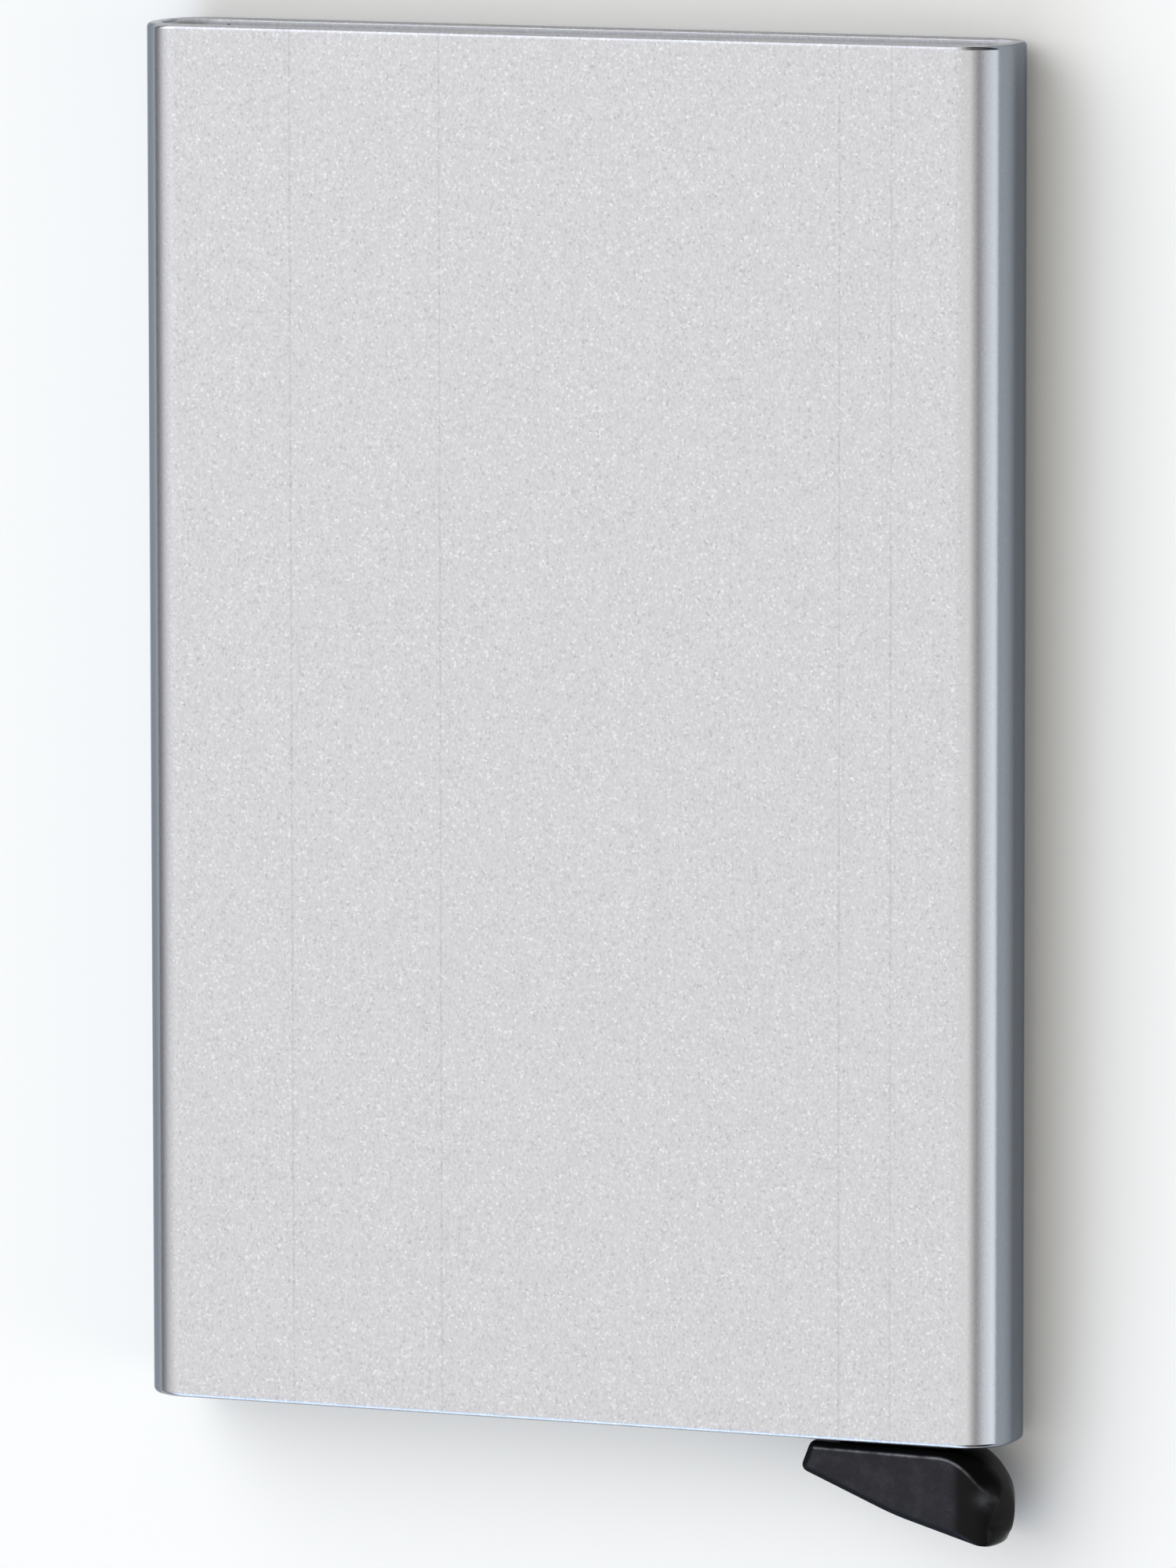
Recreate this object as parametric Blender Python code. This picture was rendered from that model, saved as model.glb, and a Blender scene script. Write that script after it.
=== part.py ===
"""An aluminium card holder: an extruded sleeve that holds a short stack of bank cards.

A black lever stands out of the foot at the right-hand corner. Pushed to the left it turns about a pin
inside the sleeve, and its stepped arm lifts the cards out of the mouth like a fan. Fibre strips in the
side channels grip the cards by their edges.

The holder lies flat on its back. The origin is the middle of the sleeve's back face, +X is to the right,
+Y runs up to the mouth and +Z comes out of the front face. All sizes are in metres.
"""

import math

import bmesh
import bpy

# Sleeve, a single aluminium extrusion. Its width and length follow from the cards and what lies round them
CASE_DEPTH = 0.0080
CASE_WALL = 0.0011
CASE_CORNER = 0.0032
CASE_EDGE_BREAK = 0.00015

# Low ribs inside the sleeve, which fence the card channel off from the two side channels
CHANNEL_WIDTH = 0.0550
SIDE_CHANNEL = 0.0024
RIB_THICKNESS = 0.0005
RIB_HEIGHT = 0.0005
RIB_RECESS = 0.0004

# A bank card's height, and how deep its top edge lies below the mouth
CARD_HEIGHT = 0.0856
CARD_RECESS = 0.0014

# Clearances between pieces that are fixed, that turn, and that swing past each other
SEAT_GAP = 0.0003
RUNNING_GAP = 0.0003
SWING_GAP = 0.0004

# Pin of the lever, from the sleeve's right side and from its foot
PIVOT_INSET = 0.0076
PIVOT_RISE = 0.0044
PIN_RADIUS = 0.0012
PIN_CHAMFER = 0.0002

# Foot bar, a moulding with three sink pockets in its front
FOOT_RECESS = 0.0004
FOOT_BAR_HEIGHT = 0.0038
POCKET_WIDTH = 0.0042
POCKET_HEIGHT = 0.0034
POCKET_PITCH = 0.0055
POCKET_DEPTH = 0.0022
POCKET_MARGIN = 0.0015
POCKET_RISE = 0.0022

# Side posts of both foot mouldings
POST_WIDTH = 0.0027
POST_HEIGHT = 0.0116

# Cheeks of the pivot block, which hold the pin in front of the lever and behind it
CHEEK_RADIUS = 0.0031
CHEEK_THICKNESS = 0.0007
CHEEK_ARM_ABOVE = 0.0020
CHEEK_ARM_BELOW = 0.0007

# Outline of the lever's finger head, as insets from the sleeve's right side and drops below its foot
NOSE_INSET = 0.01500
NOSE_DROP = 0.00242
NOSE_RADIUS = 0.0006
BELLY_INSET = 0.0085
BELLY_DROP = 0.00495
BELLY_RADIUS = 0.0250
HEEL_INSET = 0.00017
HEEL_DROP = 0.0075
HEEL_RADIUS = 0.0025
SHOULDER_DROP = 0.00445
SHOULDER_RADIUS = 0.0040
SHOULDER_TURN = math.radians(87)
HEAD_TOP_INSET = 0.0140
HEAD_TOP_DROP = 0.0003
HEAD_TOP_RADIUS = 0.00055

# The head's faces are flat up to an inset, and from there curl round into its right end
HEAD_EDGE = 0.0005
FLAT_INSET = 0.00335
HEEL_BAND = 0.0002

# Neck, the thin part of the lever that joins its hub to the head and to the arm
NECK_LEFT = 0.0046
NECK_SINK = 0.0012
NECK_FILLET = 0.0006
STUB_LENGTH = 0.0060
STUB_MARGIN = 0.0003

# Stepped arm under the cards: tongues side by side, the longest by the rear wall
ARM_HEIGHT = 0.0030
ARM_REST_GAP = 0.0005
ARM_START = 0.0038
ARM_LENGTH = 0.0300
ARM_STEP = 0.0045
ARM_TONGUES = 5
ARM_EDGE = 0.00015

# Grip strips: a carrier against the side wall, a foam core on it, and a fibre pile on the core. A margin is
# what a layer leaves free in front of it and behind it
CARRIER_THICKNESS = 0.0008
FOAM_THICKNESS = 0.0006
FOAM_MARGIN = 0.0007
FOAM_EDGE = 0.00015
PILE_THICKNESS = 0.0010
PILE_MARGIN = 0.0010
PILE_EDGE = 0.0003
STRIP_RECESS = 0.0014

# How far a cutter runs past what it cuts, and how near two points are one
OVERRUN = 0.0010
WELD = 0.000001

# Facets of a rounded corner, of a round pin and of a rounded rim
CORNER_STEPS = 10
PIN_SIDES = 48
RIM_STEPS = 3
CURL_STEPS = 6
FLAT_COSINE = math.cos(math.radians(10))
SMOOTH_ANGLE = math.radians(30)
MERGE_ANGLE = math.radians(0.01)
MOST_FILLET_SHARE = 0.49

# The sleeve goes round the card channel, its ribs and the side channels. It is as long as a card and, under
# the card, the gap, the lever's arm, the foot bar and the recess
CASE_WIDTH = CHANNEL_WIDTH + 2 * (RIB_THICKNESS + SIDE_CHANNEL + CASE_WALL)
CARD_RISE = FOOT_RECESS + FOOT_BAR_HEIGHT + ARM_REST_GAP + ARM_HEIGHT + RUNNING_GAP
CASE_LENGTH = CARD_RISE + CARD_HEIGHT + CARD_RECESS
FOOT = -CASE_LENGTH / 2
MOUTH = CASE_LENGTH / 2
RIGHT_SIDE = CASE_WIDTH / 2
MIDDLE = CASE_DEPTH / 2
CAVITY_WIDTH = CASE_WIDTH - 2 * CASE_WALL
CAVITY_DEPTH = CASE_DEPTH - 2 * CASE_WALL
CAVITY_CORNER = CASE_CORNER - CASE_WALL
RIB_INNER = CHANNEL_WIDTH / 2
RIB_OUTER = RIB_INNER + RIB_THICKNESS

# The foot mouldings, from the middle plane out to the sides
MOULDING_DEPTH = CAVITY_DEPTH - 2 * SEAT_GAP
MOULDING_SIDE = CAVITY_WIDTH / 2 - SEAT_GAP
MOULDING_LOW = FOOT + FOOT_RECESS
POST_INNER = MOULDING_SIDE - POST_WIDTH
POST_TOP = MOULDING_LOW + POST_HEIGHT
BAR_TOP = MOULDING_LOW + FOOT_BAR_HEIGHT
CARD_SEAT = FOOT + CARD_RISE

# The lever, measured from its pin
PIVOT_X = RIGHT_SIDE - PIVOT_INSET
PIVOT_Y = FOOT + PIVOT_RISE
HEAD_THICKNESS = CAVITY_DEPTH - 2 * RUNNING_GAP
NECK_THICKNESS = MOULDING_DEPTH - 2 * CHEEK_THICKNESS - 2 * RUNNING_GAP
HUB_RADIUS = POST_INNER - PIVOT_X - RUNNING_GAP
BORE_RADIUS = PIN_RADIUS + RUNNING_GAP
ARM_TOP = CARD_SEAT - RUNNING_GAP - PIVOT_Y
ARM_LOW = ARM_TOP - ARM_HEIGHT
NOSE_REACH = math.hypot(NOSE_INSET - PIVOT_INSET, PIVOT_RISE + NOSE_DROP)


def clear_scene():
    for obj in list(bpy.data.objects):
        bpy.data.objects.remove(obj, do_unlink=True)


def new_collection(name):
    collection = bpy.data.collections.new(name)
    bpy.context.scene.collection.children.link(collection)
    return collection


def new_material(name, colour, roughness, metallic=0.0):
    material = bpy.data.materials.new(name)
    material.use_nodes = True
    shader = material.node_tree.nodes["Principled BSDF"]
    shader.inputs["Base Color"].default_value = (*colour, 1.0)
    shader.inputs["Roughness"].default_value = roughness
    shader.inputs["Metallic"].default_value = metallic
    return material


def arc(centre, radius, start, end, steps=CORNER_STEPS):
    """Points on a circle from one angle to another, both ends included."""
    angles = [start + (end - start) * step / steps for step in range(steps + 1)]
    return [(centre[0] + radius * math.cos(a), centre[1] + radius * math.sin(a)) for a in angles]


def fillet(before, corner, after, radius):
    """Points of the arc that rounds a corner. The arc is kept within half of each straight side."""
    u = (before[0] - corner[0], before[1] - corner[1])
    v = (after[0] - corner[0], after[1] - corner[1])
    u_length = math.hypot(*u)
    v_length = math.hypot(*v)
    u = (u[0] / u_length, u[1] / u_length)
    v = (v[0] / v_length, v[1] / v_length)
    half = math.acos(u[0] * v[0] + u[1] * v[1]) / 2
    reach = min(radius / math.tan(half), MOST_FILLET_SHARE * min(u_length, v_length))
    first = (corner[0] + u[0] * reach, corner[1] + u[1] * reach)
    last = (corner[0] + v[0] * reach, corner[1] + v[1] * reach)
    middle = ((first[0] + last[0]) / 2, (first[1] + last[1]) / 2)
    to_centre = 1 / math.cos(half) ** 2
    centre = (
        corner[0] + (middle[0] - corner[0]) * to_centre,
        corner[1] + (middle[1] - corner[1]) * to_centre,
    )
    start = math.atan2(first[1] - centre[1], first[0] - centre[0])
    end = math.atan2(last[1] - centre[1], last[0] - centre[0])
    turn = (end - start + math.pi) % (2 * math.pi) - math.pi
    return arc(centre, reach * math.tan(half), start, start + turn)


def rounded(corners):
    """A closed outline from (point, radius) pairs. A corner of radius zero stays sharp."""
    points = []
    for index, (corner, radius) in enumerate(corners):
        before = corners[index - 1][0]
        after = corners[(index + 1) % len(corners)][0]
        points += fillet(before, corner, after, radius) if radius else [corner]
    return points


def link(obj, collection, material=None):
    collection.objects.link(obj)
    if material:
        obj.data.materials.append(material)
    return obj


def round_rim(shape, width):
    """Rounds the edges where the two flat faces of a plate or a pin meet its sides."""
    rim = []
    for edge in shape.edges:
        flat = [abs(face.normal.z) > FLAT_COSINE for face in edge.link_faces]
        if len(flat) == 2 and flat[0] != flat[1]:
            rim.append(edge)
    bmesh.ops.bevel(shape, geom=rim, offset=width, segments=RIM_STEPS, profile=0.5, affect="EDGES")


def finish_mesh(shape, name):
    mesh = bpy.data.meshes.new(name)
    shape.to_mesh(mesh)
    shape.free()
    mesh.shade_smooth()
    mesh.set_sharp_from_angle(angle=SMOOTH_ANGLE)
    return mesh


def plate(name, outlines, thickness, collection, material=None, edge=0.0, along_y=False):
    """A flat outline, with any holes in it, given a thickness along Z, or along Y if asked."""
    curve = bpy.data.curves.new(name + "_outline", "CURVE")
    curve.dimensions = "2D"
    curve.fill_mode = "BOTH"
    curve.extrude = thickness / 2
    for outline in outlines:
        spline = curve.splines.new("POLY")
        spline.points.add(len(outline) - 1)
        for point, (x, y) in zip(spline.points, outline):
            point.co = (x, y, 0.0, 1.0)
        spline.use_cyclic_u = True
    guide = link(bpy.data.objects.new(name + "_outline", curve), collection)
    graph = bpy.context.evaluated_depsgraph_get()
    flat_mesh = bpy.data.meshes.new_from_object(guide.evaluated_get(graph))
    bpy.data.objects.remove(guide, do_unlink=True)
    shape = bmesh.new()
    shape.from_mesh(flat_mesh)
    bpy.data.meshes.remove(flat_mesh)
    bmesh.ops.remove_doubles(shape, verts=shape.verts, dist=WELD)
    bmesh.ops.dissolve_limit(shape, angle_limit=MERGE_ANGLE, verts=shape.verts, edges=shape.edges)
    bmesh.ops.recalc_face_normals(shape, faces=shape.faces)
    if edge:
        round_rim(shape, edge)
    obj = bpy.data.objects.new(name, finish_mesh(shape, name))
    if along_y:
        obj.rotation_euler = (math.pi / 2, 0.0, 0.0)
    return link(obj, collection, material)


def block(name, low, high, collection, material=None, edge=0.0):
    """A box between its lowest and highest corners, with rounded edges if asked."""
    size = [b - a for a, b in zip(low, high)]
    shape = bmesh.new()
    bmesh.ops.create_cube(shape, size=1.0)
    bmesh.ops.scale(shape, vec=size, verts=shape.verts)
    if edge:
        bmesh.ops.bevel(
            shape, geom=shape.edges, offset=edge, segments=RIM_STEPS, profile=0.5, affect="EDGES"
        )
    obj = bpy.data.objects.new(name, finish_mesh(shape, name))
    obj.location = [(a + b) / 2 for a, b in zip(low, high)]
    return link(obj, collection, material)


def round_pin(name, radius, length, collection, material=None, edge=0.0):
    """A round pin on the lever's axis, centred in the depth of the sleeve."""
    shape = bmesh.new()
    bmesh.ops.create_cone(
        shape, cap_ends=True, segments=PIN_SIDES, radius1=radius, radius2=radius, depth=length
    )
    if edge:
        round_rim(shape, edge)
    obj = bpy.data.objects.new(name, finish_mesh(shape, name))
    obj.location = (PIVOT_X, PIVOT_Y, MIDDLE)
    return link(obj, collection, material)


def combine(obj, tool, operation):
    """Cuts, joins or trims a piece with a tool, which is only a helper."""
    tool.hide_render = True
    tool.display_type = "WIRE"
    modifier = obj.modifiers.new(tool.name, "BOOLEAN")
    modifier.operation = operation
    modifier.object = tool
    modifier.solver = "EXACT"


def rounded_section(width, depth, corner):
    x = width / 2
    y = depth / 2
    return rounded([((x, -y), corner), ((x, y), corner), ((-x, y), corner), ((-x, -y), corner)])


def make_housing(parts, tools, material):
    """The extruded sleeve, its cut edges broken, with four low ribs inside its two broad walls.

    The ribs are milled away at the foot, where the mouldings seat, and end just below the mouth.
    """
    outer = rounded_section(CASE_WIDTH, CASE_DEPTH, CASE_CORNER)
    inner = rounded_section(CAVITY_WIDTH, CAVITY_DEPTH, CAVITY_CORNER)
    outlines = [outer, inner]
    housing = plate("housing", outlines, CASE_LENGTH, parts, material, CASE_EDGE_BREAK, along_y=True)
    housing.location = (0.0, 0.0, MIDDLE)
    crest = CAVITY_DEPTH / 2 - RIB_HEIGHT
    root = CAVITY_DEPTH / 2 + CASE_WALL / 2
    for side, side_name in ((-1, "left"), (1, "right")):
        for face, face_name in ((-1, "rear"), (1, "front")):
            x = sorted((side * RIB_INNER, side * RIB_OUTER))
            z = sorted((MIDDLE + face * crest, MIDDLE + face * root))
            low = (x[0], POST_TOP + SEAT_GAP, z[0])
            high = (x[1], MOUTH - RIB_RECESS, z[1])
            combine(housing, block(side_name + "_" + face_name + "_rib", low, high, tools), "UNION")
    return housing


def make_cavity_gauge(tools):
    """A plug that fills the sleeve up to the seat gap. Mouldings are trimmed to it."""
    outline = rounded_section(2 * MOULDING_SIDE, MOULDING_DEPTH, CAVITY_CORNER - SEAT_GAP)
    gauge = plate("cavity_gauge", [outline], CASE_LENGTH, tools, along_y=True)
    gauge.location = (0.0, 0.0, MIDDLE)
    return gauge


def make_foot_bar(parts, tools, gauge, material):
    """Closes the foot to the left of the lever, and is the ledge that the cards stand on."""
    swing = NOSE_REACH + SWING_GAP
    left = -MOULDING_SIDE - OVERRUN
    post = -POST_INNER
    step = PIVOT_X - ARM_LENGTH - SWING_GAP
    start = math.pi + math.asin((PIVOT_Y - MOULDING_LOW) / swing)
    end = math.pi + math.asin((PIVOT_Y - BAR_TOP) / swing)
    outline = [(left, MOULDING_LOW)]
    outline += arc((PIVOT_X, PIVOT_Y), swing, start, end)
    outline += [(step, BAR_TOP), (step, CARD_SEAT), (post, CARD_SEAT), (post, POST_TOP), (left, POST_TOP)]
    bar = plate("foot_bar", [outline], CAVITY_DEPTH, parts, material)
    bar.location = (0.0, 0.0, MIDDLE)
    combine(bar, gauge, "INTERSECT")
    front = MIDDLE + MOULDING_DEPTH / 2
    land = step - post - 2 * POCKET_MARGIN - POCKET_WIDTH
    for index in range(math.floor(land / POCKET_PITCH) + 1):
        x = post + POCKET_MARGIN + index * POCKET_PITCH
        y = MOULDING_LOW + POCKET_RISE
        low = (x, y, front - POCKET_DEPTH)
        high = (x + POCKET_WIDTH, y + POCKET_HEIGHT, front + OVERRUN)
        combine(bar, block("foot_pocket_%d" % (index + 1), low, high, tools), "DIFFERENCE")
    return bar


def make_pivot_block(parts, tools, gauge, material):
    """A post in the right side channel with two cheeks, between which the lever turns on its pin."""
    right = MOULDING_SIDE + OVERRUN
    at_post = math.acos(min(1.0, (POST_INNER - PIVOT_X) / CHEEK_RADIUS))
    start = max(math.asin(CHEEK_ARM_ABOVE / CHEEK_RADIUS), at_post)
    end = 2 * math.pi - max(math.asin(CHEEK_ARM_BELOW / CHEEK_RADIUS), at_post)
    cheek = arc((PIVOT_X, PIVOT_Y), CHEEK_RADIUS, start, end, 3 * CORNER_STEPS)
    outline = [(right, MOULDING_LOW), (right, POST_TOP), (POST_INNER, POST_TOP), (POST_INNER, cheek[0][1])]
    outline += cheek + [(POST_INNER, cheek[-1][1]), (POST_INNER, MOULDING_LOW)]
    pivot_block = plate("pivot_block", [outline], CAVITY_DEPTH, parts, material)
    pivot_block.location = (0.0, 0.0, MIDDLE)
    combine(pivot_block, gauge, "INTERSECT")
    half_slot = MOULDING_DEPTH / 2 - CHEEK_THICKNESS
    low = (PIVOT_X - CHEEK_RADIUS - OVERRUN, MOULDING_LOW - OVERRUN, MIDDLE - half_slot)
    high = (POST_INNER, PIVOT_Y + CHEEK_RADIUS + OVERRUN, MIDDLE + half_slot)
    combine(pivot_block, block("fork_slot", low, high, tools), "DIFFERENCE")
    combine(pivot_block, round_pin("cheek_bore", BORE_RADIUS, CASE_DEPTH, tools), "DIFFERENCE")
    return pivot_block


def head_outline():
    """The finger head seen from the front, about the pin, anticlockwise from its top left corner."""
    right = PIVOT_INSET - HEEL_INSET
    top = -PIVOT_RISE - HEAD_TOP_DROP
    top_left = (PIVOT_INSET - HEAD_TOP_INSET, top)
    nose = (PIVOT_INSET - NOSE_INSET, -PIVOT_RISE - NOSE_DROP)
    belly = (PIVOT_INSET - BELLY_INSET, -PIVOT_RISE - BELLY_DROP)
    heel = (right, -PIVOT_RISE - HEEL_DROP)
    shoulder = (right - SHOULDER_RADIUS, -PIVOT_RISE - SHOULDER_DROP)
    shoulder_arc = arc(shoulder, SHOULDER_RADIUS, 0.0, SHOULDER_TURN, 2 * CORNER_STEPS)
    points = fillet(shoulder_arc[-1], top_left, nose, HEAD_TOP_RADIUS)
    points += fillet(top_left, nose, belly, NOSE_RADIUS)
    points += fillet(nose, belly, heel, BELLY_RADIUS)
    points += fillet(belly, heel, shoulder_arc[0], HEEL_RADIUS)
    return points + shoulder_arc


def inward(outline, index):
    """The unit direction into an anticlockwise outline at one of its points."""
    before = outline[index - 1]
    after = outline[(index + 1) % len(outline)]
    length = math.hypot(after[0] - before[0], after[1] - before[1])
    return ((before[1] - after[1]) / length, (after[0] - before[0]) / length)


def flat_rim(outline):
    """The rim of the head's flats: the outline drawn in, and cut off straight where its right end curls."""
    flat_end = PIVOT_INSET - FLAT_INSET
    rim = []
    for index, (x, y) in enumerate(outline):
        into = inward(outline, index)
        rim.append((x + into[0] * HEAD_EDGE, y + into[1] * HEAD_EDGE))
    curled = [index for index, point in enumerate(rim) if point[0] > flat_end]
    walked = [0.0]
    for index in curled[1:]:
        walked.append(walked[-1] + math.dist(outline[index - 1], outline[index]))
    low = rim[curled[0]][1]
    high = rim[curled[-1]][1]
    for index, distance in zip(curled, walked):
        rim[index] = (flat_end, low + (high - low) * distance / walked[-1])
    return rim


def curled_head(name, outline, thickness, collection):
    """The head as a loft from one flat face, round its edge and over to the other.

    The edge is narrow on the left and below. Right of the flats it widens and deepens with the distance
    to them, so that the right end is nearly a half round.
    """
    deepest = (thickness - HEEL_BAND) / 2
    widest = FLAT_INSET - HEEL_INSET
    deepening = (deepest - HEAD_EDGE) / (widest - HEAD_EDGE)
    columns = []
    for (x, y), flat in zip(outline, flat_rim(outline)):
        width = math.dist(flat, (x, y))
        depth = min(deepest, HEAD_EDGE + (width - HEAD_EDGE) * deepening)
        column = []
        for step in range(CURL_STEPS + 1):
            angle = math.pi / 2 * step / CURL_STEPS
            across = math.sin(angle)
            rise = thickness / 2 - depth * (1 - math.cos(angle))
            column.append((flat[0] + (x - flat[0]) * across, flat[1] + (y - flat[1]) * across, rise))
        columns.append(column + [(a, b, -c) for a, b, c in reversed(column)])
    shape = bmesh.new()
    rings = [[shape.verts.new(column[level]) for column in columns] for level in range(len(columns[0]))]
    for upper, lower in zip(rings, rings[1:]):
        for index in range(len(outline)):
            following = (index + 1) % len(outline)
            shape.faces.new((upper[index], lower[index], lower[following], upper[following]))
    shape.faces.new(rings[0])
    shape.faces.new(reversed(rings[-1]))
    bmesh.ops.recalc_face_normals(shape, faces=shape.faces)
    return link(bpy.data.objects.new(name, finish_mesh(shape, name)), collection)


def neck_outline():
    """The neck seen from the front, about the pin: hub, stub to the left, and foot in the head."""
    stub_top = ARM_TOP - STUB_MARGIN
    stub_low = ARM_LOW + STUB_MARGIN
    foot = -PIVOT_RISE - HEAD_TOP_DROP - NECK_SINK
    left_foot = (-NECK_LEFT, foot)
    left_top = (-NECK_LEFT, stub_low)
    stub_corner = (-STUB_LENGTH, stub_low)
    points = [(-STUB_LENGTH, stub_top), stub_corner]
    points += fillet(stub_corner, left_top, left_foot, NECK_FILLET)
    points += [left_foot, (HUB_RADIUS, foot)]
    meeting = math.pi - math.asin(min(1.0, stub_top / HUB_RADIUS))
    return points + arc((0.0, 0.0), HUB_RADIUS, 0.0, meeting, 2 * CORNER_STEPS)


def arm_outline():
    """The stepped arm seen from the foot end, about the pin, with its longest tongue at the rear."""
    tongue = HEAD_THICKNESS / ARM_TONGUES
    rear = -HEAD_THICKNESS / 2
    points = [(-ARM_START, -rear), (-ARM_START, rear)]
    for index in range(ARM_TONGUES):
        length = ARM_LENGTH - index * ARM_STEP
        points += [(-length, rear + index * tongue), (-length, rear + (index + 1) * tongue)]
    return points[:-1] + [(points[-1][0], -rear)]


def make_lever(parts, tools, material):
    """Neck, finger head and stepped arm in one moulding, with its origin on the pin.

    The shapes that make it up are its children, so it turns as a whole.
    """
    lever = plate("lever", [neck_outline()], NECK_THICKNESS, parts, material)
    lever.location = (PIVOT_X, PIVOT_Y, MIDDLE)
    head = curled_head("finger_head", head_outline(), HEAD_THICKNESS, tools)
    arm = plate("stepped_arm", [arm_outline()], ARM_HEIGHT, tools, edge=ARM_EDGE, along_y=True)
    arm.location = (0.0, ARM_TOP - ARM_HEIGHT / 2, 0.0)
    bore = round_pin("hub_bore", BORE_RADIUS, CASE_DEPTH, tools)
    bore.location = (0.0, 0.0, 0.0)
    for shape, operation in ((head, "UNION"), (arm, "UNION"), (bore, "DIFFERENCE")):
        shape.parent = lever
        combine(lever, shape, operation)
    return lever


def make_grip_strip(side, side_name, parts, gauge, materials):
    """A carrier, foam core and fibre pile in one side channel, from the post up to the mouth."""
    carrier_inner = MOULDING_SIDE - CARRIER_THICKNESS
    foam_outer = carrier_inner - SEAT_GAP
    foam_inner = foam_outer - FOAM_THICKNESS
    pile_outer = foam_inner - SEAT_GAP
    pile_inner = pile_outer - PILE_THICKNESS

    def layer(name, inner, outer, width, material, edge=0.0):
        x = sorted((side * inner, side * outer))
        low = (x[0], POST_TOP + SEAT_GAP, MIDDLE - width / 2)
        high = (x[1], MOUTH - STRIP_RECESS, MIDDLE + width / 2)
        return block(side_name + name, low, high, parts, material, edge)

    carrier = layer("_strip_carrier", carrier_inner, CAVITY_WIDTH / 2, CAVITY_DEPTH, materials["carrier"])
    combine(carrier, gauge, "INTERSECT")
    foam_width = CAVITY_DEPTH - 2 * FOAM_MARGIN
    layer("_foam_core", foam_inner, foam_outer, foam_width, materials["foam"], FOAM_EDGE)
    pile_width = CAVITY_DEPTH - 2 * PILE_MARGIN
    layer("_pile_strip", pile_inner, pile_outer, pile_width, materials["pile"], PILE_EDGE)


def main():
    clear_scene()
    parts = new_collection("card_holder")
    tools = new_collection("card_holder_tools")
    materials = {
        "anodised": new_material("anodised_aluminium", (0.66, 0.66, 0.68), 0.38, 1.0),
        "black": new_material("black_nylon", (0.012, 0.012, 0.014), 0.42),
        "steel": new_material("pin_steel", (0.55, 0.55, 0.56), 0.25, 1.0),
        "carrier": new_material("carrier_plastic", (0.03, 0.03, 0.032), 0.55),
        "foam": new_material("foam_grey", (0.08, 0.08, 0.085), 0.9),
        "pile": new_material("fibre_pile", (0.02, 0.02, 0.022), 0.95),
    }
    gauge = make_cavity_gauge(tools)
    make_housing(parts, tools, materials["anodised"])
    make_foot_bar(parts, tools, gauge, materials["black"])
    make_pivot_block(parts, tools, gauge, materials["black"])
    make_lever(parts, tools, materials["black"])
    round_pin("pivot_pin", PIN_RADIUS, MOULDING_DEPTH, parts, materials["steel"], PIN_CHAMFER)
    make_grip_strip(-1, "left", parts, gauge, materials)
    make_grip_strip(1, "right", parts, gauge, materials)


main()
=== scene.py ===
# %% [markdown]
# # An aluminium card holder
#
# A flat sleeve of bead-blasted, clear anodised aluminium holds a short stack of bank cards. A black moulded
# lever stands out of its foot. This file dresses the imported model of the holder: it keeps every piece where
# the frame says, and gives each one the finish and the fine edges that the real one has.
#
# The holder lies on its back. +X is to the right, +Y runs up to the open mouth and +Z comes out of the front
# face. Every size is in metres.

# %% Load the frame
import math

import bmesh
import bpy
import numpy as np
from mathutils import Matrix, Vector


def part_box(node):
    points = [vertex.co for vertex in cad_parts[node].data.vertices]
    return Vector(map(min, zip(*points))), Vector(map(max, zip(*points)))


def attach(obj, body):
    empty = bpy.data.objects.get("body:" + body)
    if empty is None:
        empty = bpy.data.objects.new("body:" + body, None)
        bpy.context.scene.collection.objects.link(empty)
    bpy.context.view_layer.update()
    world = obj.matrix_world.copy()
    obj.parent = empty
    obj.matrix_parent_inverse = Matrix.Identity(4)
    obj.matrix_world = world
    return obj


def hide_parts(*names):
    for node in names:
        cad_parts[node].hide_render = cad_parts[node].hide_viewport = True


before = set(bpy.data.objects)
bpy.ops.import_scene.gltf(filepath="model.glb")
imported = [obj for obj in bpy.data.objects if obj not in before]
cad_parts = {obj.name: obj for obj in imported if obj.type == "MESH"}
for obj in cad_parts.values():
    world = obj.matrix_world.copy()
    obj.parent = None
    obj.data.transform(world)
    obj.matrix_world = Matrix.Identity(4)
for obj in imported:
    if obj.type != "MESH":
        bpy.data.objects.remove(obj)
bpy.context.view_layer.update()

# %% [markdown]
# ## Read the sleeve from the frame
#
# The frame knows how large the sleeve is, so its width, depth and length are read and not typed. Only what a
# box can't tell is written down here: the wall, the corner radius, and how far the cut edges are broken.

# %% Sizes of the sleeve
MM = 0.001
WALL = 1.1 * MM
CORNER_RADIUS = 3.2 * MM
BROKEN_EDGE = 0.34 * MM

sleeve_low, sleeve_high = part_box("housing")
SLEEVE_WIDTH, SLEEVE_LENGTH = sleeve_high.x - sleeve_low.x, sleeve_high.y - sleeve_low.y
SLEEVE_DEPTH = sleeve_high.z - sleeve_low.z
print("sleeve", round(SLEEVE_WIDTH / MM, 2), round(SLEEVE_LENGTH / MM, 2), round(SLEEVE_DEPTH / MM, 2), "mm")

# %% [markdown]
# ## Camera
#
# The camera stands in front of the holder, a little to its right and above its middle, and looks through a
# long lens, so that the sides of the sleeve stay nearly parallel. Its place and its axes were fitted to the
# outline of the sleeve in the photograph. A small helper puts it, and every object after it, in the scene.

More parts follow.
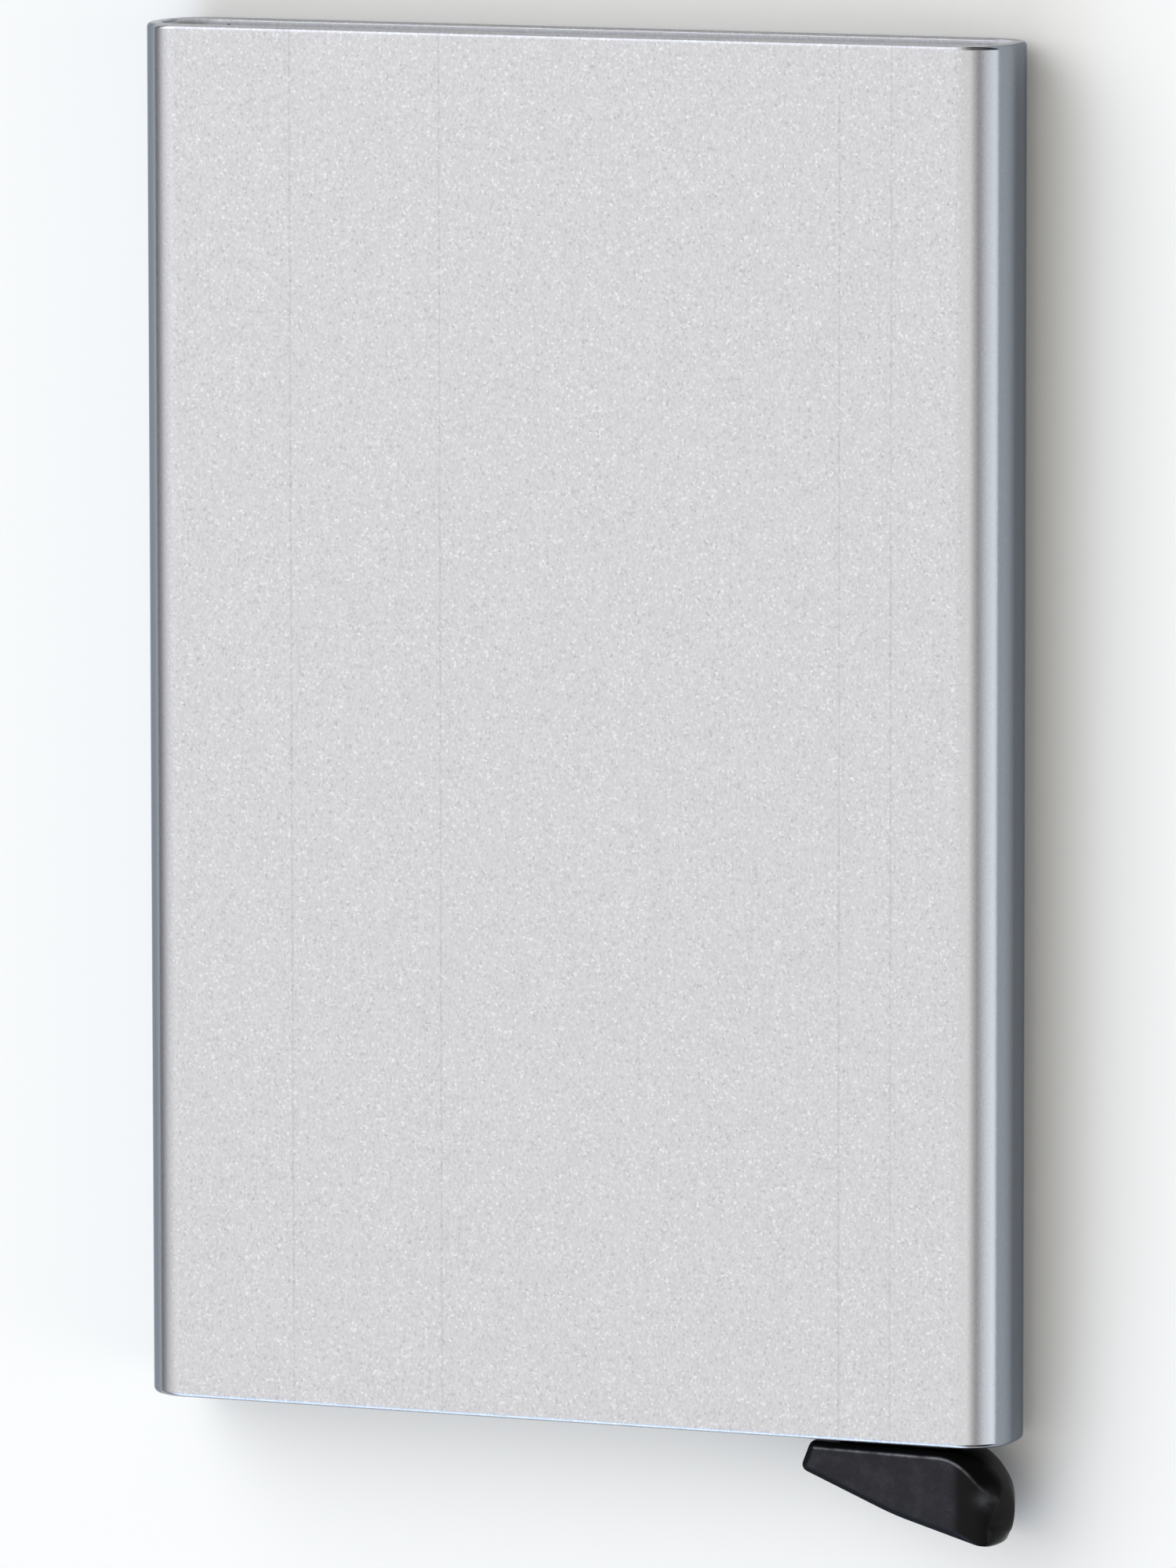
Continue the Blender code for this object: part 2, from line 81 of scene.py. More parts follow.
# %% Camera
CAMERA_PLACE = Vector((0.3376, 0.1130, 0.8582))
CAMERA_RIGHT = Vector((0.9302, -0.0013, -0.3671)).normalized()
CAMERA_BACK = Vector((0.3643, 0.1263, 0.9227)).normalized()
IMAGE_HEIGHT_PX = 2000
FOCAL_LENGTH_PX = 17308
SENSOR_MM = 36
NEAREST, FARTHEST = 0.01, 20


def placed(name, data):
    """A new object that shows this data, linked to the scene."""
    made = bpy.data.objects.new(name, data)
    bpy.context.scene.collection.objects.link(made)
    return made


camera_data = bpy.data.cameras.new("photo_camera")
camera_data.sensor_width = SENSOR_MM
camera_data.lens = FOCAL_LENGTH_PX / IMAGE_HEIGHT_PX * SENSOR_MM
camera_data.clip_start = NEAREST
camera_data.clip_end = FARTHEST
camera = placed("photo_camera", camera_data)
camera_up = CAMERA_BACK.cross(CAMERA_RIGHT)
camera_axes = Matrix((CAMERA_RIGHT, camera_up, CAMERA_BACK)).transposed()
camera.matrix_world = Matrix.Translation(CAMERA_PLACE) @ camera_axes.to_4x4()
bpy.context.scene.camera = camera
print("lens", round(camera_data.lens, 1), "mm, camera", round(CAMERA_PLACE.length, 2), "m away")

# %% [markdown]
# ## One function for every node
#
# Materials, the light and the shapes that repeat are all made of nodes. One small function adds a node, sets
# it up and links its inputs, so the recipes below read like lists of ingredients. Inputs that share a name
# are given by number: a Mix node takes its two colours in 6 and 7, and the mixed one comes out of output 2. A
# colour is written as the hex value that a colour picker shows, and turned to the linear values that a
# renderer works in.

# %% Nodes and colours
MATH = "ShaderNodeMath"
RANGE = "ShaderNodeMapRange"
NOISE = "ShaderNodeTexNoise"
MIX = "ShaderNodeMix"
MAPPING = "ShaderNodeMapping"
BUMP = "ShaderNodeBump"
PRINCIPLED = "ShaderNodeBsdfPrincipled"


def linear(hex_colour):
    """Linear red, green, blue and alpha of an sRGB colour such as "c8c8cc"."""
    parts = [int(hex_colour[i : i + 2], 16) / 255 for i in (0, 2, 4)]
    return (*[c / 12.92 if c <= 0.04045 else ((c + 0.055) / 1.055) ** 2.4 for c in parts], 1.0)


def add(tree, kind, sockets=None, **settings):
    """Adds a node. sockets gives its inputs a value, a node (its first output is linked) or an output."""
    node = tree.nodes.new(kind)
    for name, value in settings.items():
        setattr(node, name, value)
    for key, value in (sockets or {}).items():
        if isinstance(value, bpy.types.Node):
            value = value.outputs[0]
        if isinstance(value, bpy.types.NodeSocket):
            tree.links.new(value, node.inputs[key])
        else:
            node.inputs[key].default_value = value
    return node


def new_finish(name):
    """An empty material and its node tree."""
    finish = bpy.data.materials.new(name)
    finish.use_nodes = True
    finish.node_tree.nodes.clear()
    return finish, finish.node_tree


print("a mid grey is", round(linear("808080")[0], 3), "in linear light")

# %% [markdown]
# ## Light
#
# Satin metal is only as good as what it mirrors. The room is one soft dome, painted on the world by two
# angles. Round the sleeve's long axis it has a wide white screen on the left, a dim gap to the right of the
# camera, and a bright window low on the right. The front face mirrors the screen and looks even, and the
# rounded sides mirror the gap and the window as long bands. Each stop is an angle in degrees from the left
# horizon at -90 to the right one at 90, a tint, and a strength.

# %% Light round the middle
SCREEN_STOPS = [
    (-90, "b4b8be", 0.52),
    (-79, "c4c7cc", 0.58),
    (-66, "e4e6e9", 0.82),
    (-52, "f4f4f5", 0.98),
    (-38, "ffffff", 1.11),
    (0, "ffffff", 1.22),
    (17, "ffffff", 1.24),
    (29, "e8e8ea", 0.94),
    (39, "cfd0d3", 0.73),
    (48, "dadadb", 1.15),
    (62, "f5f3f1", 2.05),
    (80, "f5f3f1", 2.50),
    (90, "e8e8e8", 2.30),
]


def set_stops(ramp, stops):
    """Fills a ramp from the left horizon to the right one, with a tint and a strength at each stop."""
    while len(ramp.elements) < len(stops):
        ramp.elements.new(1.0)
    for element, (angle, tint, strength) in zip(ramp.elements, stops):
        element.position = (angle + 90) / 180
        element.color = [channel * strength for channel in linear(tint)[:3]] + [1.0]


world = bpy.data.worlds.new("studio")
bpy.context.scene.world = world
world.use_nodes = True
dome = world.node_tree
dome.nodes.clear()
towards = add(dome, "ShaderNodeSeparateXYZ", {0: add(dome, "ShaderNodeTexCoord").outputs["Generated"]})
round_angle = add(dome, MATH, {0: towards.outputs["X"], 1: towards.outputs["Z"]}, operation="ARCTAN2")
across = add(dome, RANGE, {"Value": round_angle, "From Min": math.radians(-90), "From Max": math.radians(90)})
screen = add(dome, "ShaderNodeValToRGB", {"Fac": across})
set_stops(screen.color_ramp, SCREEN_STOPS)
print("dome", len(SCREEN_STOPS), "stops round the middle")

# %% [markdown]
# ## Light towards the ends
#
# The second angle is how far a direction leans to the mouth or the foot. The right side of the screen is only
# a strip across the middle, and towards the mouth and the foot the dome is lit mostly from the left, a little
# blue at the foot. That draws a thin bright line on each broken edge, and lays a soft shadow on the right,
# which the right side of the sleeve mirrors. A lean is the Y of a direction whose length is 1.

# %% Light at the ends
END_STOPS = [
    (-90, "8b9097", 0.25),
    (-74, "c8cbd0", 0.60),
    (-58, "ffffff", 2.40),
    (-34, "ffffff", 2.40),
    (-14, "f8f8f8", 1.05),
    (4, "ececec", 0.50),
    (20, "d8d8d8", 0.30),
    (90, "b0b0b0", 0.14),
]
STRIP_MIDDLE, STRIP_HALF, STRIP_FADE = -0.12, 0.12, 0.30
RIGHT_START, RIGHT_FULL = math.radians(0), math.radians(18)
leaning = towards.outputs["Y"]

ends = add(dome, "ShaderNodeValToRGB", {"Fac": across})
set_stops(ends.color_ramp, END_STOPS)
off_strip = add(dome, MATH, {0: leaning, 1: STRIP_MIDDLE}, operation="SUBTRACT")
off_strip = add(dome, MATH, {0: off_strip}, operation="ABSOLUTE")
past_strip = add(dome, RANGE, {
    "Value": off_strip, "From Min": STRIP_HALF, "From Max": STRIP_FADE}, interpolation_type="SMOOTHSTEP")
on_right = add(dome, RANGE, {
    "Value": round_angle, "From Min": RIGHT_START, "From Max": RIGHT_FULL}, interpolation_type="SMOOTHSTEP")
dim_right = add(dome, MATH, {0: past_strip, 1: on_right}, operation="MULTIPLY")
room = add(dome, MIX, {"Factor": dim_right, 6: screen, 7: ends}, data_type="RGBA")
print("dome", len(END_STOPS), "stops at the ends")

# %% Mouth and foot
MOUTH = dict(fade=(-0.28, 0.55), low=(0.75, 0.92), level=0.45, tint="f4f8ff")
FOOT = dict(fade=(-0.40, -0.72), low=(-0.80, -0.95), level=1.9, tint="c9deff")
TINT_FULL, TINT_END = math.radians(-18), math.radians(4)

from_left = add(dome, RANGE, {
    "Value": round_angle, "From Min": TINT_FULL, "From Max": TINT_END, "To Min": 1.0, "To Max": 0.0})
for end in (MOUTH, FOOT):
    near = add(dome, RANGE, {
        "Value": leaning, "From Min": end["fade"][0], "From Max": end["fade"][1]},
        interpolation_type="SMOOTHSTEP")
    low = add(dome, RANGE, {
        "Value": leaning, "From Min": end["low"][0], "From Max": end["low"][1],
        "To Min": 1.0, "To Max": end["level"]})
    light = add(dome, "ShaderNodeVectorMath", {0: ends, "Scale": low}, operation="SCALE")
    light = add(dome, MIX, {
        "Factor": from_left, 6: light, 7: linear(end["tint"])}, data_type="RGBA", blend_type="MULTIPLY")
    room = add(dome, MIX, {"Factor": near, 6: room.outputs[2], 7: light.outputs[2]}, data_type="RGBA")
print("dome", len(dome.nodes), "nodes")

# %% Room
ROOM_LEVEL = 1.2

background = add(dome, "ShaderNodeBackground", {"Color": room.outputs[2], "Strength": ROOM_LEVEL})
add(dome, "ShaderNodeOutputWorld", {"Surface": background})
bpy.context.scene.view_settings.view_transform = "Standard"
print("room level", ROOM_LEVEL)

# %% [markdown]
# ## Floor
#
# The holder lies on its back on plain white board. The board is matte, so it takes the holder's soft shadow
# and gives nothing back but white.

# %% White board
FLOOR_HALF = 4.0
FLOOR_DROP = 0.1 * MM
BOARD_WHITE = "fdfbf5"

board, tree = new_finish("white_board")
matte = add(tree, "ShaderNodeBsdfDiffuse", {"Color": linear(BOARD_WHITE), "Roughness": 0.0})
add(tree, "ShaderNodeOutputMaterial", {"Surface": matte})
sheet = bmesh.new()
bmesh.ops.create_grid(sheet, x_segments=1, y_segments=1, size=FLOOR_HALF)
bmesh.ops.translate(sheet, verts=sheet.verts, vec=(0, 0, -FLOOR_DROP))
floor_mesh = bpy.data.meshes.new("floor")
sheet.to_mesh(floor_mesh)
sheet.free()
floor_mesh.materials.append(board)
floor = placed("floor", floor_mesh)
print("floor", round(FLOOR_DROP / MM, 2), "mm under the holder")

# %% [markdown]
# ## Bead-blasted, clear anodised aluminium
#
# Glass beads leave shallow dimples that are a tenth of a millimetre across, and the clear oxide over them
# keeps the metal's own pale grey. To the eye that is an even satin with a fine glitter: some facets catch the
# light, some look past it, and that glitter is painted into the colour as lighter and darker facets, with the
# low dimples painted darker. The rounded sides are painted a darker, bluer grey, a painted shade that makes
# them read darker than the face. Light that comes at a slant crosses more of the oxide, so the metal goes a
# little darker towards its outline. The extruder's die leaves a few faint lines along the sleeve, and they
# show through. The beads strike the rounded sides at a slant, so the sides stay smoother and mirror more
# clearly. The grain is drawn a little coarser than life, at 0.15 mm, so that it doesn't vanish in a picture
# of the whole holder. A pattern's scale is 1 over its size, and a stretch below 1 draws it out on one axis.

# %% Blasted grain
GRAIN = 0.15 * MM
GRAIN_STRETCH = 0.55
DIMPLE_SHADE = 0.48
FACET = 0.15 * MM
FACETS_THAT_SHOW = 0.85
BRIGHT_FACET, DARK_FACET = 0.21, 0.15
BLAST_END = SLEEVE_WIDTH / 2 - CORNER_RADIUS
BLAST_FADE = 1.2 * MM
BLAST_AT_SIDES = 0.25

anodised, tree = new_finish("bead_blasted_anodised_aluminium")
place = add(tree, "ShaderNodeTexCoord").outputs["Object"]
parts = add(tree, "ShaderNodeSeparateXYZ", {0: place})
drawn = add(tree, MAPPING, {"Vector": place, "Scale": (1 / GRAIN, GRAIN_STRETCH / GRAIN, 1 / GRAIN)})
dimples = add(tree, NOISE, {"Vector": drawn, "Scale": 1.0, "Detail": 2.0, "Roughness": 0.6})
facets = add(tree, "ShaderNodeTexVoronoi", {"Vector": place, "Scale": 1 / FACET}, feature="F1")
pick = add(tree, "ShaderNodeSeparateColor", {0: facets.outputs["Color"]})
bright_facet, dark_facet = [
    add(tree, RANGE, {
        "Value": pick.outputs[channel], "From Min": FACETS_THAT_SHOW, "To Max": strength},
        interpolation_type="SMOOTHSTEP")
    for channel, strength in enumerate((BRIGHT_FACET, DARK_FACET))]
# Painted glint and shade: random facets are painted lighter or darker, and the low dimples darker.
painted_facet_glint = add(tree, MATH, {0: bright_facet, 1: dark_facet}, operation="SUBTRACT")
dimple_shade = add(tree, MATH, {0: dimples, 1: 0.5}, operation="SUBTRACT")
grain = add(tree, MATH, {0: dimple_shade, 1: DIMPLE_SHADE, 2: painted_facet_glint}, operation="MULTIPLY_ADD")
side_reach = add(tree, MATH, {0: parts.outputs["X"]}, operation="ABSOLUTE")
blasted = add(tree, RANGE, {
    "Value": side_reach, "From Min": BLAST_END, "From Max": BLAST_END + BLAST_FADE,
    "To Min": 1.0, "To Max": BLAST_AT_SIDES}, interpolation_type="SMOOTHSTEP")
fine = add(tree, MATH, {0: grain, 1: blasted}, operation="MULTIPLY")
print("grain", round(GRAIN / MM, 2), "mm, even up to", round(BLAST_END / MM, 1), "mm from the middle")

# %% Streaks and die lines
STREAK = 0.5 * MM
STREAK_LENGTH = 14 * MM
STREAK_SHADE = 0.05
DIE_LINES = (-19.9 * MM, -8.9 * MM, 20.1 * MM, 23.8 * MM)
DIE_LINE_HALF = 0.12 * MM
DIE_LINE_SHADE = 0.12

along = add(tree, MAPPING, {"Vector": place, "Scale": (1 / STREAK, 1 / STREAK_LENGTH, 1 / STREAK)})
streak = add(tree, NOISE, {"Vector": along, "Scale": 1.0, "Detail": 3.0})
streak_shade = add(tree, MATH, {0: streak, 1: 0.5}, operation="SUBTRACT")
shade = add(tree, MATH, {0: streak_shade, 1: STREAK_SHADE, 2: fine}, operation="MULTIPLY_ADD")
for line_x in DIE_LINES:
    beside = add(tree, MATH, {0: parts.outputs["X"], 1: line_x}, operation="SUBTRACT")
    away = add(tree, MATH, {0: beside}, operation="ABSOLUTE")
    die_line = add(tree, RANGE, {
        "Value": away, "From Max": DIE_LINE_HALF, "To Min": DIE_LINE_SHADE, "To Max": 0.0})
    shade = add(tree, MATH, {0: shade, 1: die_line}, operation="SUBTRACT")
lightness = add(tree, MATH, {0: shade, 1: 1.0}, operation="ADD")
print(len(DIE_LINES), "die lines at", ", ".join(str(round(line_x / MM, 1)) for line_x in DIE_LINES), "mm")

# %% Oxide, painted side shade and metal
OXIDE = "b9b8b9"
PAINTED_SHADE_AT_SIDES = "8c9198"
OXIDE_AT_A_SLANT = "c8ccd4"
SIDE_SHADE_START = SLEEVE_WIDTH / 2 - 1.75 * MM
SIDE_SHADE_FULL = SLEEVE_WIDTH / 2 - 1.05 * MM
SATIN_AT_SIDES, SATIN_IN_FRONT = 0.12, 0.27
DIMPLE_ROUGHNESS = 0.08
DIMPLE_DEPTH, DIMPLE_STRENGTH = 0.012 * MM, 0.22

# Painted shade: the rounded sides are given a darker, bluer grey than the face.
painted_side_shade = add(tree, RANGE, {
    "Value": side_reach, "From Min": SIDE_SHADE_START, "From Max": SIDE_SHADE_FULL}, interpolation_type="SMOOTHSTEP")
oxide_with_painted_shade = add(tree, MIX, {"Factor": painted_side_shade, 6: linear(OXIDE), 7: linear(PAINTED_SHADE_AT_SIDES)}, data_type="RGBA")
oxide_with_painted_shade = add(tree, "ShaderNodeVectorMath", {0: oxide_with_painted_shade.outputs[2], "Scale": lightness}, operation="SCALE")
satin = add(tree, RANGE, {
    "Value": blasted, "From Min": BLAST_AT_SIDES, "To Min": SATIN_AT_SIDES, "To Max": SATIN_IN_FRONT})
roughness = add(tree, MATH, {0: dimples, 1: DIMPLE_ROUGHNESS, 2: satin}, operation="MULTIPLY_ADD")
dents = add(tree, BUMP, {"Height": dimples, "Strength": DIMPLE_STRENGTH, "Distance": DIMPLE_DEPTH})
metal = add(tree, PRINCIPLED, {
    "Base Color": oxide_with_painted_shade, "Specular Tint": linear(OXIDE_AT_A_SLANT), "Metallic": 1.0, "Roughness": roughness,
    "Normal": dents})
add(tree, "ShaderNodeOutputMaterial", {"Surface": metal})
print(anodised.name, len(tree.nodes), "nodes")

# %% [markdown]
# ## Etched bore
#
# The beads don't reach the inside of the sleeve. There the metal keeps the matte, milky surface that the
# caustic etch before anodising leaves, so it has almost no mirror in it and takes the daylight that falls in
# at the mouth. Fine draw marks run along it.

# %% Etched aluminium
ETCH = 0.2 * MM
DRAW_STRETCH = 0.06
MILKY_DARK, MILKY_PALE = "cacacd", "dededf"
MIRROR_LEFT = 0.2

bore, tree = new_finish("etched_anodised_aluminium")
place = add(tree, "ShaderNodeTexCoord").outputs["Object"]
draw = add(tree, MAPPING, {"Vector": place, "Scale": (1 / ETCH, DRAW_STRETCH / ETCH, 1 / ETCH)})
marks = add(tree, NOISE, {"Vector": draw, "Scale": 1.0, "Detail": 3.0})
mottle = add(tree, NOISE, {"Vector": place, "Scale": 1 / ETCH, "Detail": 2.0})
both = add(tree, MATH, {0: marks, 1: mottle}, operation="ADD")
milkiness = add(tree, RANGE, {"Value": both, "From Min": 0.7, "From Max": 1.3})
milky = add(tree, MIX, {
    "Factor": milkiness, 6: linear(MILKY_DARK), 7: linear(MILKY_PALE)}, data_type="RGBA")
roughness = add(tree, RANGE, {"Value": marks, "To Min": 0.62, "To Max": 0.85})
etched = add(tree, PRINCIPLED, {
    "Base Color": milky.outputs[2], "Metallic": MIRROR_LEFT, "Roughness": roughness})
add(tree, "ShaderNodeOutputMaterial", {"Surface": etched})
print(bore.name, "mottle", round(ETCH / MM, 2), "mm")

# %% [markdown]
# ## Sawn ends
#
# The sleeve is sawn from a long bar, and the cut faces are only wiped with a fine file before anodising. The
# saw's teeth leave shallow marks across the wall, and the oxide takes a duller, greyer look on them. The
# furrows of the marks are painted darker than their ridges, a painted shade.

# %% Sawn aluminium
TOOTH_MARK = 0.12 * MM
TOOTH_STRETCH = 0.1
SAW_LEAN = math.radians(12)
SAW_DARK, SAW_PALE = "a0a0a4", "b6b6ba"
FURROW_DEPTH = 0.01 * MM

sawn, tree = new_finish("sawn_anodised_aluminium")
place = add(tree, "ShaderNodeTexCoord").outputs["Object"]
pitch = add(tree, MAPPING, {
    "Vector": place, "Rotation": (0.0, SAW_LEAN, 0.0),
    "Scale": (1 / TOOTH_MARK, 1 / TOOTH_MARK, TOOTH_STRETCH / TOOTH_MARK)})
teeth = add(tree, NOISE, {"Vector": pitch, "Scale": 1.0, "Detail": 2.0})
# Painted shade: the low furrows of the tooth marks are painted darker.
furrow_to_ridge = add(tree, RANGE, {"Value": teeth, "From Min": 0.35, "From Max": 0.65})
grey = add(tree, MIX, {"Factor": furrow_to_ridge, 6: linear(SAW_DARK), 7: linear(SAW_PALE)}, data_type="RGBA")
furrows = add(tree, BUMP, {"Height": teeth, "Strength": 0.3, "Distance": FURROW_DEPTH})
cut_metal = add(tree, PRINCIPLED, {
    "Base Color": grey.outputs[2], "Metallic": 1.0, "Roughness": 0.36, "Normal": furrows})
add(tree, "ShaderNodeOutputMaterial", {"Surface": cut_metal})
print(sawn.name, "tooth marks", round(TOOTH_MARK / MM, 2), "mm")

# %% [markdown]
# ## Shapes grown by Geometry Nodes
#
# A shape that follows a rule is a tree of nodes with named inputs. The helper below sets those inputs by
# their identifiers, reads the finished mesh back, and drops the modifier, so what is left is a plain mesh. It
# also lets the large flat faces rule the shading, which keeps them flat right up to a rounded edge.

# %% Grow a mesh from a tree
def new_tree(name, **inputs):
    """A geometry tree with a named input for each size, and its group input node's outputs."""
    tree = bpy.data.node_groups.new(name, "GeometryNodeTree")
    tree.interface.new_socket("Geometry", in_out="OUTPUT", socket_type="NodeSocketGeometry")
    kinds = {float: "NodeSocketFloat", int: "NodeSocketInt", bpy.types.Material: "NodeSocketMaterial"}
    for label, value in inputs.items():
        tree.interface.new_socket(label.replace("_", " "), in_out="INPUT", socket_type=kinds[type(value)])
    return tree, add(tree, "NodeGroupInput").outputs


def grow(name, tree, **inputs):
    """The plain mesh that a tree makes with these inputs, as an object at the origin."""
    seed = placed(name + "_seed", bpy.data.meshes.new(name + "_seed"))
    nodes = seed.modifiers.new("nodes", "NODES")
    nodes.node_group = tree
    sockets = [item for item in tree.interface.items_tree if item.in_out == "INPUT"]
    identifiers = {socket.name: socket.identifier for socket in sockets}
    for label, value in inputs.items():
        nodes[identifiers[label.replace("_", " ")]] = value
    seed.modifiers.new("flat faces rule", "WEIGHTED_NORMAL").keep_sharp = True
    graph = bpy.context.evaluated_depsgraph_get()
    mesh = bpy.data.meshes.new_from_object(seed.evaluated_get(graph), depsgraph=graph)
    bpy.data.objects.remove(seed)
    mesh.name = name
    piece = placed(name, mesh)
    print(name, len(mesh.polygons), "faces from", len(inputs), "inputs")
    return piece


print("helpers for shapes:", new_tree.__name__, grow.__name__)

# %% [markdown]
# ## The sleeve
#
# The real sleeve is one extrusion, sawn to length, with its cut edges broken. The same shape comes from a
# sweep: the section of the wall, as long as the sleeve, is carried once round a rounded rectangle. Four low
# ribs inside fence the card channel off. They are one small bar, set on the four corners of a grid. The
# finish follows the place: blasted outside, etched inside, sawn on the two cut faces.

# %% Sleeve sizes
RIB_INNER = 27.5 * MM
RIB_THICKNESS = 0.5 * MM
RIB_HEIGHT = 0.5 * MM
RIB_EDGE = 0.08 * MM
post_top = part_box("pivot_block")[1].y

sleeve_inputs = dict(
    Width=SLEEVE_WIDTH, Depth=SLEEVE_DEPTH, Length=SLEEVE_LENGTH, Wall=WALL, Corner=CORNER_RADIUS,
    Edge=BROKEN_EDGE, Rib_Place=RIB_INNER + RIB_THICKNESS / 2, Rib_Thickness=RIB_THICKNESS,
    Rib_Height=RIB_HEIGHT, Rib_Edge=RIB_EDGE, Rib_Low=post_top, Rib_High=sleeve_high.y - BROKEN_EDGE,
    Metal=anodised, Bore=bore, Cut=sawn,
)
tree, size = new_tree("extruded_sleeve", **sleeve_inputs)
print("sleeve inputs", ", ".join(socket.name for socket in size if socket.name))

# %% Wall tube
CORNER_STEPS, EDGE_STEPS = 28, 6

ring_width = add(tree, MATH, {0: size["Width"], 1: size["Wall"]}, operation="SUBTRACT")
ring_depth = add(tree, MATH, {0: size["Depth"], 1: size["Wall"]}, operation="SUBTRACT")
ring_radius = add(tree, MATH, {0: size["Wall"], 1: -0.5, 2: size["Corner"]}, operation="MULTIPLY_ADD")
ring = add(tree, "GeometryNodeCurvePrimitiveQuadrilateral", {"Width": ring_width, "Height": ring_depth})
ring = add(tree, "GeometryNodeFilletCurve", {
    0: ring, "Count": CORNER_STEPS, "Radius": ring_radius}, mode="POLY")
wall = add(tree, "GeometryNodeCurvePrimitiveQuadrilateral", {"Width": size["Wall"], "Height": size["Length"]})
wall = add(tree, "GeometryNodeFilletCurve", {
    0: wall, "Count": EDGE_STEPS, "Radius": size["Edge"]}, mode="POLY")
tube = add(tree, "GeometryNodeCurveToMesh", {"Curve": ring, "Profile Curve": wall})
print("tube nodes so far", len(tree.nodes))

# %% Ribs
SUNK_IN_WALL = 0.5
RIB_EDGE_STEPS = 4

rib_length = add(tree, MATH, {0: size["Rib High"], 1: size["Rib Low"]}, operation="SUBTRACT")
rib_sunk = add(tree, MATH, {
    0: size["Wall"], 1: SUNK_IN_WALL, 2: size["Rib Height"]}, operation="MULTIPLY_ADD")
rib_end = add(tree, "ShaderNodeCombineXYZ", {"Z": rib_length})
rib_path = add(tree, "GeometryNodeCurvePrimitiveLine", {"End": rib_end})
rib_section = add(tree, "GeometryNodeCurvePrimitiveQuadrilateral", {
    "Width": rib_sunk, "Height": size["Rib Thickness"]})
rib_section = add(tree, "GeometryNodeFilletCurve", {
    0: rib_section, "Count": RIB_EDGE_STEPS, "Radius": size["Rib Edge"]}, mode="POLY")
rib = add(tree, "GeometryNodeCurveToMesh", {
    "Curve": rib_path, "Profile Curve": rib_section, "Fill Caps": True})
# From middle to middle, two facing ribs are the depth apart, less two walls and a rib, plus what is sunk.
rib_to_wall = add(tree, MATH, {
    0: size["Wall"], 1: SUNK_IN_WALL - 2, 2: size["Depth"]}, operation="MULTIPLY_ADD")
rib_gap = add(tree, MATH, {0: rib_to_wall, 1: size["Rib Height"]}, operation="SUBTRACT")
rib_apart = add(tree, MATH, {0: size["Rib Place"], 1: 2.0}, operation="MULTIPLY")
four = add(tree, "GeometryNodeMeshGrid", {
    "Size X": rib_apart, "Size Y": rib_gap, "Vertices X": 2, "Vertices Y": 2})
ribs = add(tree, "GeometryNodeInstanceOnPoints", {"Points": four, "Instance": rib})
rib_start = add(tree, MATH, {0: size["Rib High"], 1: -1.0}, operation="MULTIPLY")
rib_shift = add(tree, "ShaderNodeCombineXYZ", {"Z": rib_start})
ribs = add(tree, "GeometryNodeTransform", {"Geometry": ribs, "Translation": rib_shift})
print("rib nodes so far", len(tree.nodes))

# %% Laid down
SET_MATERIAL = "GeometryNodeSetMaterial"

both = add(tree, "GeometryNodeJoinGeometry")
tree.links.new(tube.outputs[0], both.inputs[0])
tree.links.new(ribs.outputs[0], both.inputs[0])
half_depth = add(tree, MATH, {0: size["Depth"], 1: 0.5}, operation="MULTIPLY")
lift = add(tree, "ShaderNodeCombineXYZ", {"Z": half_depth})
laid = add(tree, "GeometryNodeTransform", {
    "Geometry": both, "Translation": lift, "Rotation": (math.radians(90), 0.0, 0.0)})
real = add(tree, "GeometryNodeRealizeInstances", {0: laid})
smooth_faces = add(tree, "GeometryNodeSetShadeSmooth", {0: real})
metal_on = add(tree, SET_MATERIAL, {0: smooth_faces, "Material": size["Metal"]})
print("nodes up to the outer finish", len(tree.nodes))

# %% Finish by place
WALL_SHARE_INSIDE = 0.95
CUT_FACE = 0.8

spot = add(tree, "ShaderNodeSeparateXYZ", {0: add(tree, "GeometryNodeInputPosition")})
above = add(tree, MATH, {0: spot.outputs["Z"], 1: half_depth}, operation="SUBTRACT")
above = add(tree, MATH, {0: above}, operation="ABSOLUTE")
aside = add(tree, MATH, {0: spot.outputs["X"]}, operation="ABSOLUTE")
half_width = add(tree, MATH, {0: size["Width"], 1: 0.5}, operation="MULTIPLY")
inner_depth, inner_width = [
    add(tree, MATH, {0: size["Wall"], 1: -WALL_SHARE_INSIDE, 2: half}, operation="MULTIPLY_ADD")
    for half in (half_depth, half_width)]
within_depth = add(tree, MATH, {0: above, 1: inner_depth}, operation="LESS_THAN")
within_width = add(tree, MATH, {0: aside, 1: inner_width}, operation="LESS_THAN")
inside = add(tree, MATH, {0: within_depth, 1: within_width}, operation="MULTIPLY")
bore_on = add(tree, SET_MATERIAL, {0: metal_on, "Selection": inside, "Material": size["Bore"]})
facing = add(tree, "ShaderNodeSeparateXYZ", {0: add(tree, "GeometryNodeInputNormal")})
along_y = add(tree, MATH, {0: facing.outputs["Y"]}, operation="ABSOLUTE")
is_cut = add(tree, MATH, {0: along_y, 1: CUT_FACE}, operation="GREATER_THAN")
cut_on = add(tree, SET_MATERIAL, {0: bore_on, "Selection": is_cut, "Material": size["Cut"]})
add(tree, "NodeGroupOutput", {0: cut_on})
print("sleeve tree", len(tree.nodes), "nodes")

# %% Sleeve
sleeve = grow("sleeve_extrusion", tree, **sleeve_inputs)
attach(sleeve, "sleeve")
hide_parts("housing")
print("finishes on it:", ", ".join(finish.name for finish in sleeve.data.materials if finish))

